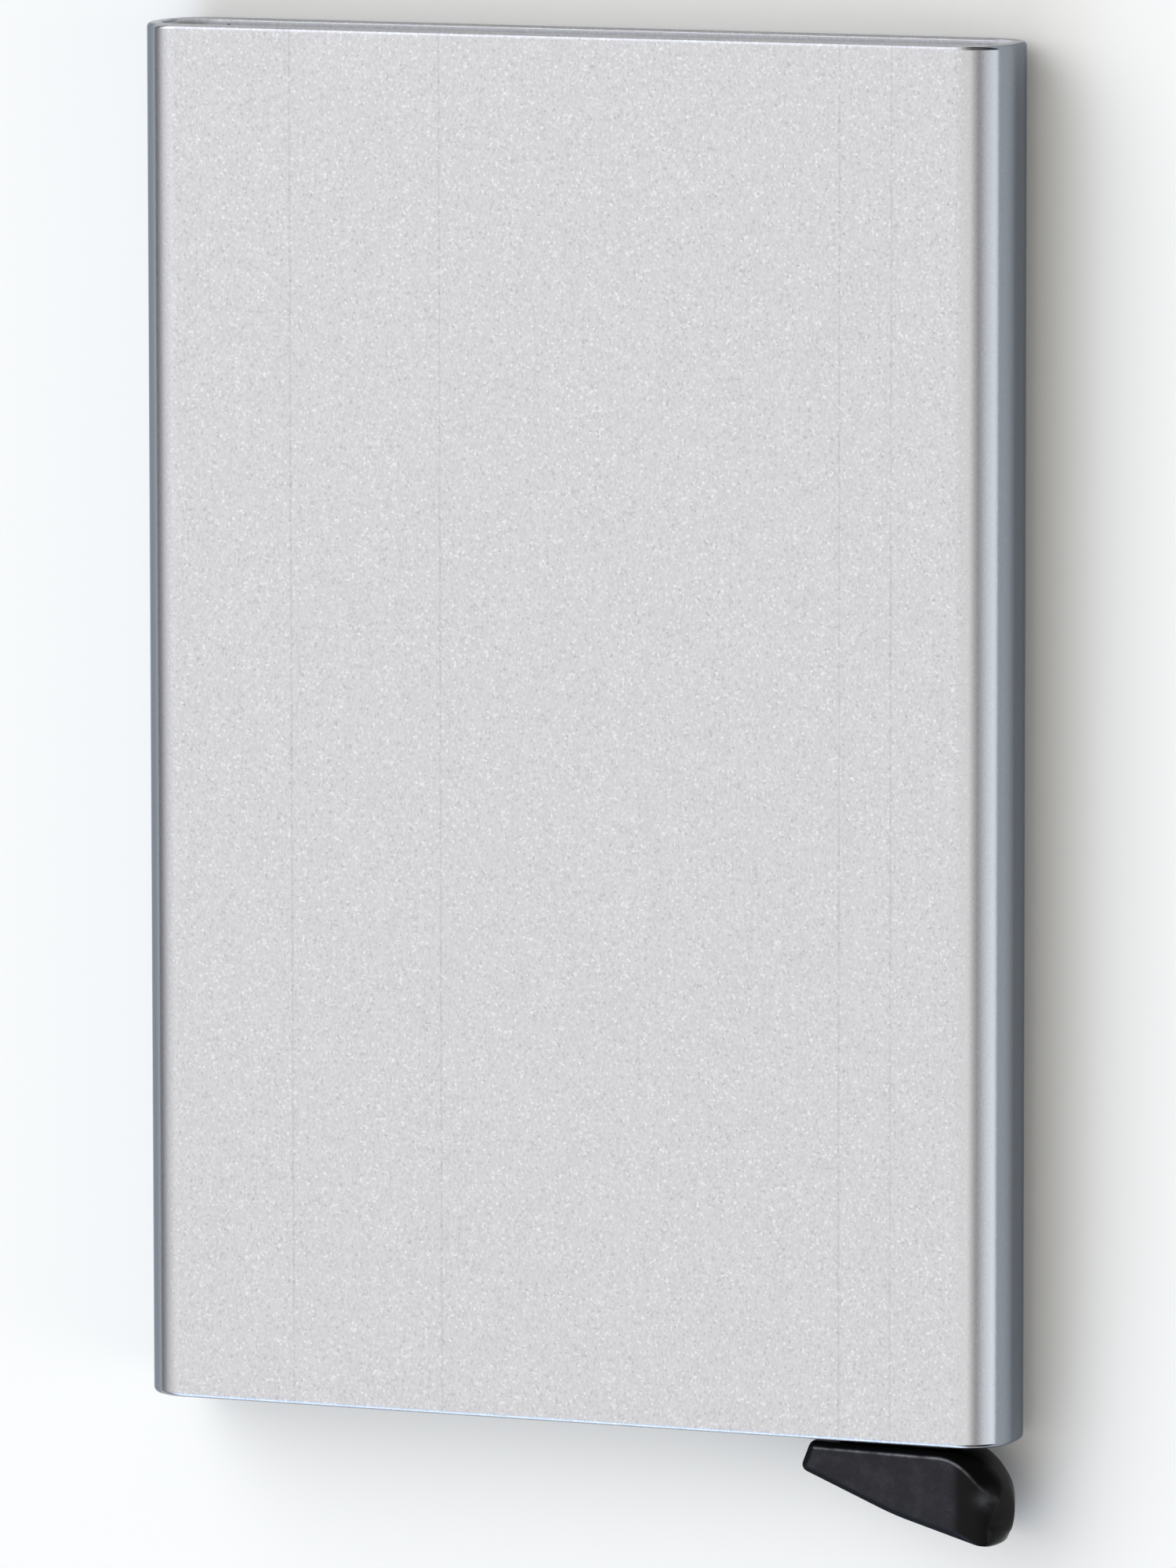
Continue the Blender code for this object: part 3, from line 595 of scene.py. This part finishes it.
# %% [markdown]
# ## Black moulded nylon
#
# The lever and the two foot mouldings are glass-filled nylon. Most of the mould is polished, which leaves the
# plastic deep black. The finger pad is spark-eroded, a fine matte grit that scatters a little light and looks
# charcoal. A pale grey line is painted along the edge above the pad, a painted highlight where that edge
# catches the light, with a soft painted highlight spot on the curl. The pad and the painted highlight are
# drawn where the mesh says, by two values that its points carry.

# %% Pad colour
ERODED_GRIT = 0.11 * MM
SCUFF = 1.3 * MM
CHARCOAL = "2d2c2f"

nylon, tree = new_finish("glass_filled_nylon_moulded")
place = add(tree, "ShaderNodeTexCoord").outputs["Object"]
pad = add(tree, "ShaderNodeAttribute", attribute_name="eroded").outputs["Fac"]
painted_highlight_mask = add(tree, "ShaderNodeAttribute", attribute_name="painted_highlight").outputs["Fac"]
grit = add(tree, NOISE, {"Vector": place, "Scale": 1 / ERODED_GRIT, "Detail": 3.0, "Roughness": 0.65})
cloud = add(tree, NOISE, {"Vector": place, "Scale": 1 / SCUFF, "Detail": 5.0, "Roughness": 0.62})
scuffed = add(tree, RANGE, {
    "Value": cloud, "From Min": 0.40, "From Max": 0.70, "To Min": 0.80, "To Max": 1.25},
    interpolation_type="SMOOTHSTEP")
speckled = add(tree, RANGE, {
    "Value": grit, "From Min": 0.35, "From Max": 0.65, "To Min": 0.8, "To Max": 1.2})
uneven = add(tree, MATH, {0: scuffed, 1: speckled}, operation="MULTIPLY")
charcoal = add(tree, "ShaderNodeVectorMath", {0: linear(CHARCOAL)[:3], "Scale": uneven}, operation="SCALE")
print("pad grit", round(ERODED_GRIT / MM, 2), "mm, scuffs", round(SCUFF / MM, 2), "mm")

# %% Moulded nylon
BLACK = "070708"
PAINTED_HIGHLIGHT_GREY = "8f8f93"
POLISHED, ERODED = 0.26, 0.50
SHALLOW, DEEP = 0.05, 0.30
GRIT_ROUGHNESS = 0.1
GRIT_DEPTH = 0.01 * MM
NYLON_IOR = 1.53
DULL_SKIN = 0.10

body = add(tree, MIX, {"Factor": pad, 6: linear(BLACK), 7: charcoal}, data_type="RGBA")
patchy = add(tree, RANGE, {
    "Value": cloud, "From Min": 0.38, "From Max": 0.62, "To Min": 0.25, "To Max": 1.0})
# Painted highlight: pale grey mixed into the black where the points carry it.
painted_highlight_share = add(tree, MATH, {0: painted_highlight_mask, 1: patchy}, operation="MULTIPLY")
tint = add(tree, MIX, {"Factor": painted_highlight_share, 6: body.outputs[2], 7: linear(PAINTED_HIGHLIGHT_GREY)}, data_type="RGBA")
mould_skin = add(tree, RANGE, {"Value": pad, "To Min": POLISHED, "To Max": ERODED})
roughness = add(tree, MATH, {0: grit, 1: GRIT_ROUGHNESS, 2: mould_skin}, operation="MULTIPLY_ADD")
depth = add(tree, RANGE, {"Value": pad, "To Min": SHALLOW, "To Max": DEEP})
texture = add(tree, BUMP, {"Height": grit, "Strength": depth, "Distance": GRIT_DEPTH})
plastic = add(tree, PRINCIPLED, {
    "Base Color": tint.outputs[2], "Roughness": roughness, "Normal": texture, "IOR": NYLON_IOR,
    "Specular IOR Level": DULL_SKIN})
add(tree, "ShaderNodeOutputMaterial", {"Surface": plastic})
print(nylon.name, len(tree.nodes), "nodes")

# %% [markdown]
# ## Outline of the finger head
#
# Seen from the front, the head is a wedge with a blunt nose on the left, a nearly straight belly, a rather
# sharp sole corner, and a round shoulder on the right. It is written as four corners and one arc, measured
# from the right side and the foot of the sleeve. The outline is then walked in equal steps, so that the
# surface made on it is even.

# %% Arcs and equal steps
def arc(centre, radius, start, end, steps=24):
    """Points on a circle from one angle to another."""
    turns = np.linspace(start, end, steps + 1)
    return [centre + radius * np.array((math.cos(turn), math.sin(turn))) for turn in turns]


def rounded_corner(before, corner, after, radius):
    """The arc that rounds a corner between two points."""
    u = (before - corner) / np.linalg.norm(before - corner)
    v = (after - corner) / np.linalg.norm(after - corner)
    half = math.acos(u @ v) / 2
    centre = corner + (u + v) / np.linalg.norm(u + v) * radius / math.sin(half)
    first = corner + u * radius / math.tan(half) - centre
    last = corner + v * radius / math.tan(half) - centre
    start = math.atan2(first[1], first[0])
    turn = (math.atan2(last[1], last[0]) - start + math.pi) % (2 * math.pi) - math.pi
    return arc(centre, radius, start, start + turn)


def walked(points, step):
    """A closed outline's points, set out again in equal steps."""
    closed = np.array(list(points) + [points[0]])
    lengths = np.concatenate(([0], np.cumsum(np.linalg.norm(np.diff(closed, axis=0), axis=1))))
    marks = np.linspace(0, lengths[-1], round(lengths[-1] / step), endpoint=False)
    return np.stack([np.interp(marks, lengths, closed[:, axis]) for axis in (0, 1)], axis=1)


unit_circle = arc(np.zeros(2), 1.0, 0.0, 2 * math.pi)
print("a unit circle walked in steps of 0.1 has", len(walked(unit_circle, 0.1)), "points")

# %% Head outline
HEAD_GAP = 0.30 * MM
TOP_LEFT_INSET, TOP_LEFT_RADIUS = 14.07 * MM, 0.55 * MM
NOSE_INSET, NOSE_DROP, NOSE_RADIUS = 14.87 * MM, 2.36 * MM, 0.55 * MM
BELLY_INSET, BELLY_DROP, BELLY_RADIUS = 8.1 * MM, 5.17 * MM, 20 * MM
SOLE_INSET, SOLE_DROP, SOLE_RADIUS = 1.14 * MM, 7.19 * MM, 0.66 * MM
SIDE_INSET = 0.12 * MM
SHOULDER_RADIUS, SHOULDER_DROP = 4.12 * MM, 4.60 * MM
SHOULDER_LOW, SHOULDER_HIGH = math.radians(-20), math.radians(87)
OUTLINE_STEP = 0.13 * MM


def from_corner(inset, drop):
    """A point given by its distance from the sleeve's right side and below its foot."""
    return np.array((sleeve_high.x - inset, sleeve_low.y - drop))


top_left = from_corner(TOP_LEFT_INSET, HEAD_GAP)
nose = from_corner(NOSE_INSET, NOSE_DROP)
belly = from_corner(BELLY_INSET, BELLY_DROP)
sole = from_corner(SOLE_INSET, SOLE_DROP)
shoulder = from_corner(SIDE_INSET + SHOULDER_RADIUS, SHOULDER_DROP)
shoulder_arc = arc(shoulder, SHOULDER_RADIUS, SHOULDER_LOW, SHOULDER_HIGH)
corners = rounded_corner(shoulder_arc[-1], top_left, nose, TOP_LEFT_RADIUS)
corners += rounded_corner(top_left, nose, belly, NOSE_RADIUS)
corners += rounded_corner(nose, belly, sole, BELLY_RADIUS)
corners += rounded_corner(belly, sole, shoulder_arc[0], SOLE_RADIUS)
outline = walked(corners + shoulder_arc, OUTLINE_STEP)
print("head outline", len(outline), "points, lowest", round(outline[:, 1].min() / MM, 2), "mm")

# %% [markdown]
# ## Surface of the finger head
#
# The flat pad is bounded by a crisp edge, with a sloping land round it. To the right the pad curls back like
# the end of a surfboard, and on the shoulder the land grows into a steep black flank. So the height of a
# point is the lower one of two simple surfaces, the curling pad and the land, with the sharp meeting line
# rubbed a little round. The outer edge is rounded off too, and much more so at the heel, which is a smooth
# ball. The same height, seen from behind, gives the back. The flank and the heel each rise and fall between
# two pairs of angles, in degrees round the middle of the shoulder.

# %% Even steps and distances
def smooth(value, low, high):
    """0 below low, 1 above high, and an even S between them."""
    t = np.clip((value - low) / (high - low), 0, 1)
    return t * t * (3 - 2 * t)


def nearest_edge(points):
    """For each point, its distance to the outline and the nearest outline point's number."""
    side = np.roll(outline, -1, axis=0) - outline
    gap = points[:, None] - outline
    share = np.clip((gap * side).sum(2) / (side * side).sum(1), 0, 1)
    distance = np.linalg.norm(gap - share[..., None] * side, axis=2)
    return distance.min(1), distance.argmin(1)


belly_depth = nearest_edge(belly[None])[0][0]
print("the belly's rounding passes", round(belly_depth / MM, 2), "mm from its corner")

# %% Head surface
CURL_INSET = 3.92 * MM
HEEL_HALF = 0.3 * MM
EDGE_HALF = 0.05 * MM
EDGE_ROUND, HEEL_ROUND = 0.08 * MM, 1.08 * MM
HEEL_RISE, HEEL_FALL = (-46, -19), (-15, 35)
LAND_WIDTH, LAND_DEPTH = 0.52 * MM, 0.34 * MM
FLANK_WIDTH, FLANK_DEPTH = 1.17 * MM, 1.63 * MM
FLANK_RISE, FLANK_FALL = (-38, -10), (27, 99)
FLANK_BULGE = 0.4

head_low, head_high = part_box("lever")
half_thickness = (head_high.z - head_low.z) / 2
curl_start = from_corner(CURL_INSET, 0)[0]


def pad_and_land(points, distance):
    """Heights of the curling pad and of the land at these points, and how the edge rounds them off."""
    reach = np.clip((points[:, 0] - curl_start) / (CURL_INSET - SIDE_INSET), 0, 1)
    pad_height = half_thickness - (half_thickness - HEEL_HALF) * (1 - np.sqrt(1 - reach * reach))
    turn = np.degrees(np.arctan2(points[:, 1] - shoulder[1], points[:, 0] - shoulder[0]))
    flank = smooth(turn, *FLANK_RISE) * (1 - smooth(turn, *FLANK_FALL))
    inward = 1 - distance / (LAND_WIDTH + FLANK_WIDTH * flank)
    bulge = 1 - np.sqrt(1 - np.clip(inward, 0, 1) ** 2)
    slope = (1 - FLANK_BULGE * flank) * inward + FLANK_BULGE * flank * bulge
    heel = smooth(turn, *HEEL_RISE) * (1 - smooth(turn, *HEEL_FALL))
    inset = np.clip(distance / (EDGE_ROUND + HEEL_ROUND * heel), 0, 1)
    land_height = half_thickness - (LAND_DEPTH + FLANK_DEPTH * flank) * slope
    return pad_height, land_height, np.sqrt(inset * (2 - inset))


print("head", round(2 * half_thickness / MM, 2), "mm thick, curls from x =", round(curl_start / MM, 2), "mm")

# %% [markdown]
# ## Mesh of the finger head
#
# Rings of points run from the outline in towards a spine, closely spaced near the edge, where the surface
# turns fast. Each point takes its height from the two surfaces, and carries how matte it is and how much
# painted highlight it gets. The painted highlight is strongest on the upward-facing edge above the pad, fades
# out down the curl, and returns as a soft painted highlight spot on the curl.

# %% Head points
SPINE = (from_corner(13.5 * MM, 1.75 * MM), from_corner(3.7 * MM, 3.7 * MM))
RINGS, RING_CROWDING = 52, 1.5
INNERMOST_RING = 0.97
MEETING = 0.07 * MM

spine_run = SPINE[1] - SPINE[0]
spine_share = np.clip((outline - SPINE[0]) @ spine_run / (spine_run @ spine_run), 0, 1)
spine_points = SPINE[0] + spine_share[:, None] * spine_run
ring_shares = INNERMOST_RING * (np.arange(RINGS + 1) / RINGS) ** RING_CROWDING
plan = np.concatenate([outline + share * (spine_points - outline) for share in ring_shares])
distance, nearest = nearest_edge(plan)
pad_height, land_height, edge_share = pad_and_land(plan, distance)
over = land_height - pad_height
meeting_round = np.clip(MEETING - np.abs(over), 0, None) ** 2 / (4 * MEETING)
height = np.minimum(pad_height, land_height) - meeting_round
height = np.maximum(np.maximum(height, HEEL_HALF) * edge_share, EDGE_HALF)
print("head points", len(plan), "on each side, highest", round(height.max() / MM, 2), "mm from the middle")

# %% Matte and painted highlight
PAD_EDGE, PAD_FADE = 0.06 * MM, 0.8 * MM
HIGHLIGHT_LINE = 0.045 * MM
HIGHLIGHT_FADE = 2.6 * MM, 3.7 * MM
HIGHLIGHT_EVERYWHERE = 0.05
FACES_UP = 0.4, 0.95
HIGHLIGHT_SPOT, HIGHLIGHT_SPOT_REACH, HIGHLIGHT_SPOT_LEVEL = from_corner(1.45 * MM, 3.75 * MM), 0.6 * MM, 0.22

past_curl = plan[:, 0] - curl_start
eroded = smooth(over, 0.0, PAD_EDGE) * (1 - smooth(past_curl, 0.0, PAD_FADE))
outline_run = np.roll(outline, -1, axis=0) - np.roll(outline, 1, axis=0)
faces_up = smooth(-outline_run[:, 0] / np.linalg.norm(outline_run, axis=1), *FACES_UP)[nearest]
on_edge = HIGHLIGHT_EVERYWHERE + (1 - HIGHLIGHT_EVERYWHERE) * faces_up
# Painted highlight: a line along the upward edge above the pad, and a soft spot on the curl.
painted_highlight = np.exp(-((over / HIGHLIGHT_LINE) ** 2)) * on_edge * (1 - smooth(past_curl, *HIGHLIGHT_FADE))
painted_highlight += HIGHLIGHT_SPOT_LEVEL * np.exp(-(((plan - HIGHLIGHT_SPOT) / HIGHLIGHT_SPOT_REACH) ** 2).sum(1))
print(round(100 * float((eroded > 0.5).mean())), "% of the points are on the pad")

# %% Head mesh
columns = len(outline)
middle_z = (head_low.z + head_high.z) / 2
shape = bmesh.new()
front, back = [
    [shape.verts.new((*spot, middle_z + facing * rise)) for spot, rise in zip(plan, height)]
    for facing in (1, -1)]
for points, facing in ((front, 1), (back, -1)):
    for ring in range(RINGS):
        for index in range(columns):
            here, there = ring * columns + index, ring * columns + (index + 1) % columns
            quad = [points[k] for k in (here, there, there + columns, here + columns)]
            shape.faces.new(quad if facing > 0 else quad[::-1])
    last = points[RINGS * columns :]
    rim = [shape.edges.get((last[index - 1], last[index])) for index in range(columns)]
    bmesh.ops.triangle_fill(shape, edges=rim, use_beauty=True, normal=(0, 0, facing))
for index in range(columns):
    following = (index + 1) % columns
    shape.faces.new((back[index], back[following], front[following], front[index]))
bmesh.ops.recalc_face_normals(shape, faces=shape.faces)
print("head surface", len(shape.faces), "faces in", RINGS, "rings")

# %% Finger head
mesh = bpy.data.meshes.new("finger_head")
shape.to_mesh(mesh)
shape.free()
mesh.shade_smooth()
mesh.materials.append(nylon)
for label, values in (("eroded", eroded), ("painted_highlight", painted_highlight)):
    both_sides = np.tile(values, 2).astype(np.float32)
    mesh.attributes.new(label, "FLOAT", "POINT").data.foreach_set("value", both_sides)
finger_head = placed("finger_head", mesh)
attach(finger_head, "lever")
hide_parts("lever")
print("finger_head", len(mesh.polygons), "faces")

# %% [markdown]
# ## Pieces that keep the frame's shape
#
# The rest of the lever, the foot mouldings and the pin have the right shape already, but as loose triangles
# with knife edges. A copy of each one is welded, its flat faces are made whole again, and its sharp edges are
# broken with a small bevel, as a mould or a barrel polish leaves them. The lever's copy is cut off just above
# its head, and the cut end is pushed down into the new head.

# %% Cut a copy
WELD = 0.002 * MM
SINK = 1.0 * MM


def cut_above(shape, level, sink):
    """Keeps what is above a level, closes it, and pushes the closed end down."""
    everything = shape.verts[:] + shape.edges[:] + shape.faces[:]
    bmesh.ops.bisect_plane(
        shape, geom=everything, plane_co=(0, level, 0), plane_no=(0, -1, 0), clear_outer=True)
    bmesh.ops.holes_fill(shape, edges=[edge for edge in shape.edges if edge.is_boundary])
    for point in shape.verts:
        if point.co.y < level + WELD:
            point.co.y -= sink


print("a cut end sinks", round(SINK / MM, 1), "mm into its neighbour")

# %% Finished copies
FLAT_ANGLE = math.radians(0.6)
EDGE_ANGLE = math.radians(38)
BEVEL_SEGMENTS = 3


def finished_copy(node, name, body, finish, edge, cut=None):
    """A welded copy of a node of the frame, with broken edges and its finish."""
    shape = bmesh.new()
    shape.from_mesh(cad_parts[node].data)
    bmesh.ops.remove_doubles(shape, verts=shape.verts, dist=WELD)
    if cut is not None:
        cut_above(shape, cut, SINK)
    bmesh.ops.dissolve_limit(shape, angle_limit=FLAT_ANGLE, verts=shape.verts, edges=shape.edges)
    mesh = bpy.data.meshes.new(name)
    shape.to_mesh(mesh)
    shape.free()
    mesh.shade_smooth()
    mesh.materials.append(finish)
    piece = placed(name, mesh)
    bevel = piece.modifiers.new("broken edges", "BEVEL")
    bevel.width = edge
    bevel.segments = BEVEL_SEGMENTS
    bevel.limit_method = "ANGLE"
    bevel.angle_limit = EDGE_ANGLE
    piece.modifiers.new("flat faces rule", "WEIGHTED_NORMAL")
    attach(piece, body)
    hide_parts(node)
    print(name, len(mesh.polygons), "faces before its edges are broken")


print("edges over", round(math.degrees(EDGE_ANGLE)), "degrees are broken")

# %% Lever, foot closure and pin holder
MOULDED_EDGE = 0.12 * MM
CUT_ABOVE = 0.05 * MM

head_top = sleeve_low.y - HEAD_GAP
finished_copy("lever", "lever_neck_and_arm", "lever", nylon, MOULDED_EDGE, head_top + CUT_ABOVE)
finished_copy("foot_bar", "foot_closure", "sleeve", nylon, MOULDED_EDGE)
finished_copy("pivot_block", "pin_holder", "sleeve", nylon, MOULDED_EDGE)

# %% [markdown]
# ## Ground steel pin
#
# The pin is cut from ground rod, so fine scratches run round it and blur what it mirrors. It sits deep in the
# foot, where hardly any of it shows.

# %% Pin
SCRATCH = 0.033 * MM
SCRATCH_LENGTH = 2 * MM
SMOOTHEST, ROUGHEST = 0.18, 0.34
STEEL = "c4c4c6"
PIN_EDGE = 0.05 * MM

steel, tree = new_finish("ground_steel")
place = add(tree, "ShaderNodeTexCoord").outputs["Object"]
rings = add(tree, MAPPING, {
    "Vector": place, "Scale": (1 / SCRATCH_LENGTH, 1 / SCRATCH_LENGTH, 1 / SCRATCH)})
scratches = add(tree, NOISE, {"Vector": rings, "Scale": 1.0, "Detail": 3.0})
roughness = add(tree, RANGE, {"Value": scratches, "To Min": SMOOTHEST, "To Max": ROUGHEST})
bright = add(tree, PRINCIPLED, {"Base Color": linear(STEEL), "Metallic": 1.0, "Roughness": roughness})
add(tree, "ShaderNodeOutputMaterial", {"Surface": bright})
finished_copy("pivot_pin", "ground_pin", "sleeve", steel, PIN_EDGE)

# %% [markdown]
# ## Backs and cores of the grip strips
#
# Each strip has three layers: an extruded plastic back, a foam core, and a pile of short fibres that presses
# on the edges of the cards. The back and the foam keep the frame's shape and only take a finish. The back
# has the long drag marks of its die, and the foam has open-looking cells a fifth of a millimetre wide, whose
# hollow middles are painted darker, a painted shade.

# %% Extruded plastic
DRAG, DRAG_LENGTH = 0.11 * MM, 8 * MM
BACK_BLACK = "2c2c2f"

extruded, tree = new_finish("extruded_plastic_back")
place = add(tree, "ShaderNodeTexCoord").outputs["Object"]
draw = add(tree, MAPPING, {"Vector": place, "Scale": (1 / DRAG, 1 / DRAG_LENGTH, 1 / DRAG)})
drag = add(tree, NOISE, {"Vector": draw, "Scale": 1.0, "Detail": 2.0})
roughness = add(tree, RANGE, {"Value": drag, "To Min": 0.45, "To Max": 0.65})
skin = add(tree, PRINCIPLED, {"Base Color": linear(BACK_BLACK), "Roughness": roughness})
add(tree, "ShaderNodeOutputMaterial", {"Surface": skin})
print(extruded.name, "drag marks", round(DRAG / MM, 2), "mm apart")

# %% Foam
CELL = 0.22 * MM
CELL_DEPTH = 0.05 * MM
SHADED_CELL_HOLLOW, CELL_WALL = "3a3a3d", "5c5c60"

foam, tree = new_finish("closed_cell_foam")
place = add(tree, "ShaderNodeTexCoord").outputs["Object"]
cells = add(tree, "ShaderNodeTexVoronoi", {"Vector": place, "Scale": 1 / CELL})
# Painted shade: the hollow middles of the cells are darker than their walls.
cell_shade = add(tree, MIX, {
    "Factor": cells, 6: linear(SHADED_CELL_HOLLOW), 7: linear(CELL_WALL)}, data_type="RGBA")
cell_walls = add(tree, BUMP, {"Height": cells, "Strength": 0.7, "Distance": CELL_DEPTH})
soft = add(tree, PRINCIPLED, {
    "Base Color": cell_shade.outputs[2], "Roughness": 0.9, "Normal": cell_walls})
add(tree, "ShaderNodeOutputMaterial", {"Surface": soft})
print(foam.name, "cells", round(CELL / MM, 2), "mm")

# %% Backs and cores
for side in ("left", "right"):
    for part, finish in (("strip_carrier", extruded), ("foam_core", foam)):
        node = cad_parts[side + "_" + part]
        node.data.materials.clear()
        node.data.materials.append(finish)
        print(node.name, "in", finish.name)

# %% [markdown]
# ## Fibre pile
#
# The pile is a few thousand short fibres on a woven base. Each one is a thin three-sided taper that leans a
# little its own way. The tree lays points over the base, turns a fibre on each of them by a seeded random
# angle, and makes the lot one mesh. Real fibres are finer, and stand closer, than the ones drawn here.

# %% Pile finish
TUFT = 0.6 * MM
TUFT_SHADE, TUFT_LIGHT = "0c0c0d", "2e2e31"

pile, tree = new_finish("nylon_fibre_pile")
place = add(tree, "ShaderNodeTexCoord").outputs["Object"]
tufts = add(tree, NOISE, {"Vector": place, "Scale": 1 / TUFT, "Detail": 3.0})
fibre_shade = add(tree, MIX, {
    "Factor": tufts, 6: linear(TUFT_SHADE), 7: linear(TUFT_LIGHT)}, data_type="RGBA")
fibre = add(tree, PRINCIPLED, {"Base Color": fibre_shade.outputs[2], "Roughness": 0.8})
add(tree, "ShaderNodeOutputMaterial", {"Surface": fibre})
print(pile.name, "tufts", round(TUFT / MM, 2), "mm")

# %% Pile sizes
FIBRE_PITCH = 0.24 * MM
FIBRE_RADIUS = 0.075 * MM
FIBRE_LEAN = 0.30
BASE_SHARE = 0.3


def pile_sizes(side, seed):
    """The inputs for one pile, with its length, width and heights read from the frame's strip."""
    low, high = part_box(side + "_pile_strip")
    thickness = high.x - low.x
    return dict(
        Length=high.y - low.y, Width=high.z - low.z, Base=thickness * BASE_SHARE,
        Fibre=thickness * (1 - BASE_SHARE), Pitch=FIBRE_PITCH, Radius=FIBRE_RADIUS, Lean=FIBRE_LEAN,
        Seed=seed, Finish=pile)


left_sizes = pile_sizes("left", 1)
print("pile", round(left_sizes["Length"] / MM, 1), "mm long,", round(left_sizes["Width"] / MM, 1), "mm wide")

# %% Fibres
EDGE_MARGIN = 2.5
SHIFT_SHARE = 0.4
TIP_SHARE = 0.45

tree, size = new_tree("fibre_pile", **left_sizes)
lean_back = add(tree, MATH, {0: size["Lean"], 1: -1.0}, operation="MULTIPLY")
rows = add(tree, MATH, {0: size["Length"], 1: size["Pitch"]}, operation="DIVIDE")
files = add(tree, MATH, {0: size["Width"], 1: size["Pitch"]}, operation="DIVIDE")
field_length, field_width = [
    add(tree, MATH, {0: size["Pitch"], 1: -EDGE_MARGIN, 2: size[full]}, operation="MULTIPLY_ADD")
    for full in ("Length", "Width")]
field = add(tree, "GeometryNodeMeshGrid", {
    "Size X": field_length, "Size Y": field_width, "Vertices X": rows, "Vertices Y": files})
shift = add(tree, MATH, {0: size["Pitch"], 1: SHIFT_SHARE}, operation="MULTIPLY")
shift_high = add(tree, "ShaderNodeCombineXYZ", {"X": shift, "Y": shift})
shift_low = add(tree, "ShaderNodeVectorMath", {0: shift_high, "Scale": -1.0}, operation="SCALE")
jitter = add(tree, "FunctionNodeRandomValue", {
    0: shift_low, 1: shift_high, "Seed": size["Seed"]}, data_type="FLOAT_VECTOR")
field = add(tree, "GeometryNodeSetPosition", {"Geometry": field, "Offset": jitter})
lean_high = add(tree, "ShaderNodeCombineXYZ", {"X": size["Lean"], "Y": size["Lean"], "Z": math.pi})
lean_low = add(tree, "ShaderNodeCombineXYZ", {"X": lean_back, "Y": lean_back, "Z": -math.pi})
lean_seed = add(tree, MATH, {0: size["Seed"], 1: 1.0}, operation="ADD")
lean = add(tree, "FunctionNodeRandomValue", {
    0: lean_low, 1: lean_high, "Seed": lean_seed}, data_type="FLOAT_VECTOR")
tip = add(tree, MATH, {0: size["Radius"], 1: TIP_SHARE}, operation="MULTIPLY")
taper = add(tree, "GeometryNodeMeshCone", {
    "Vertices": 3, "Radius Top": tip, "Radius Bottom": size["Radius"], "Depth": size["Fibre"]})
fibres = add(tree, "GeometryNodeInstanceOnPoints", {"Points": field, "Instance": taper, "Rotation": lean})
print("fibre nodes", len(tree.nodes))

# %% Base and finish
BASE_DROP_SHARE = 0.4

base_size = add(tree, "ShaderNodeCombineXYZ", {"X": size["Length"], "Y": size["Width"], "Z": size["Base"]})
base = add(tree, "GeometryNodeMeshCube", {"Size": base_size})
base_drop = add(tree, MATH, {0: size["Base"], 1: -BASE_DROP_SHARE}, operation="MULTIPLY")
base_shift = add(tree, "ShaderNodeCombineXYZ", {"Z": base_drop})
base = add(tree, "GeometryNodeTransform", {"Geometry": base, "Translation": base_shift})
both = add(tree, "GeometryNodeJoinGeometry")
tree.links.new(fibres.outputs[0], both.inputs[0])
tree.links.new(base.outputs[0], both.inputs[0])
real = add(tree, "GeometryNodeRealizeInstances", {0: both})
coated = add(tree, SET_MATERIAL, {0: real, "Material": size["Finish"]})
add(tree, "NodeGroupOutput", {0: coated})
print("pile tree", len(tree.nodes), "nodes")

# %% Both piles
ROOT_SHARE = 0.9

for side, sign, seed in (("left", 1, 1), ("right", -1, 11)):
    strip = grow(side + "_fibre_pile", tree, **pile_sizes(side, seed))
    low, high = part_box(side + "_pile_strip")
    base_height = (high.x - low.x) * BASE_SHARE
    root_x = (low.x if sign > 0 else high.x) + sign * base_height * ROOT_SHARE
    turn = Matrix(((0, 0, sign), (1, 0, 0), (0, sign, 0))).to_4x4()
    middle = Vector((root_x, (low.y + high.y) / 2, (low.z + high.z) / 2))
    strip.data.transform(Matrix.Translation(middle) @ turn)
    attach(strip, "sleeve")
    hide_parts(side + "_pile_strip")
    print(side, "pile stands at x =", round(root_x / MM, 2), "mm")
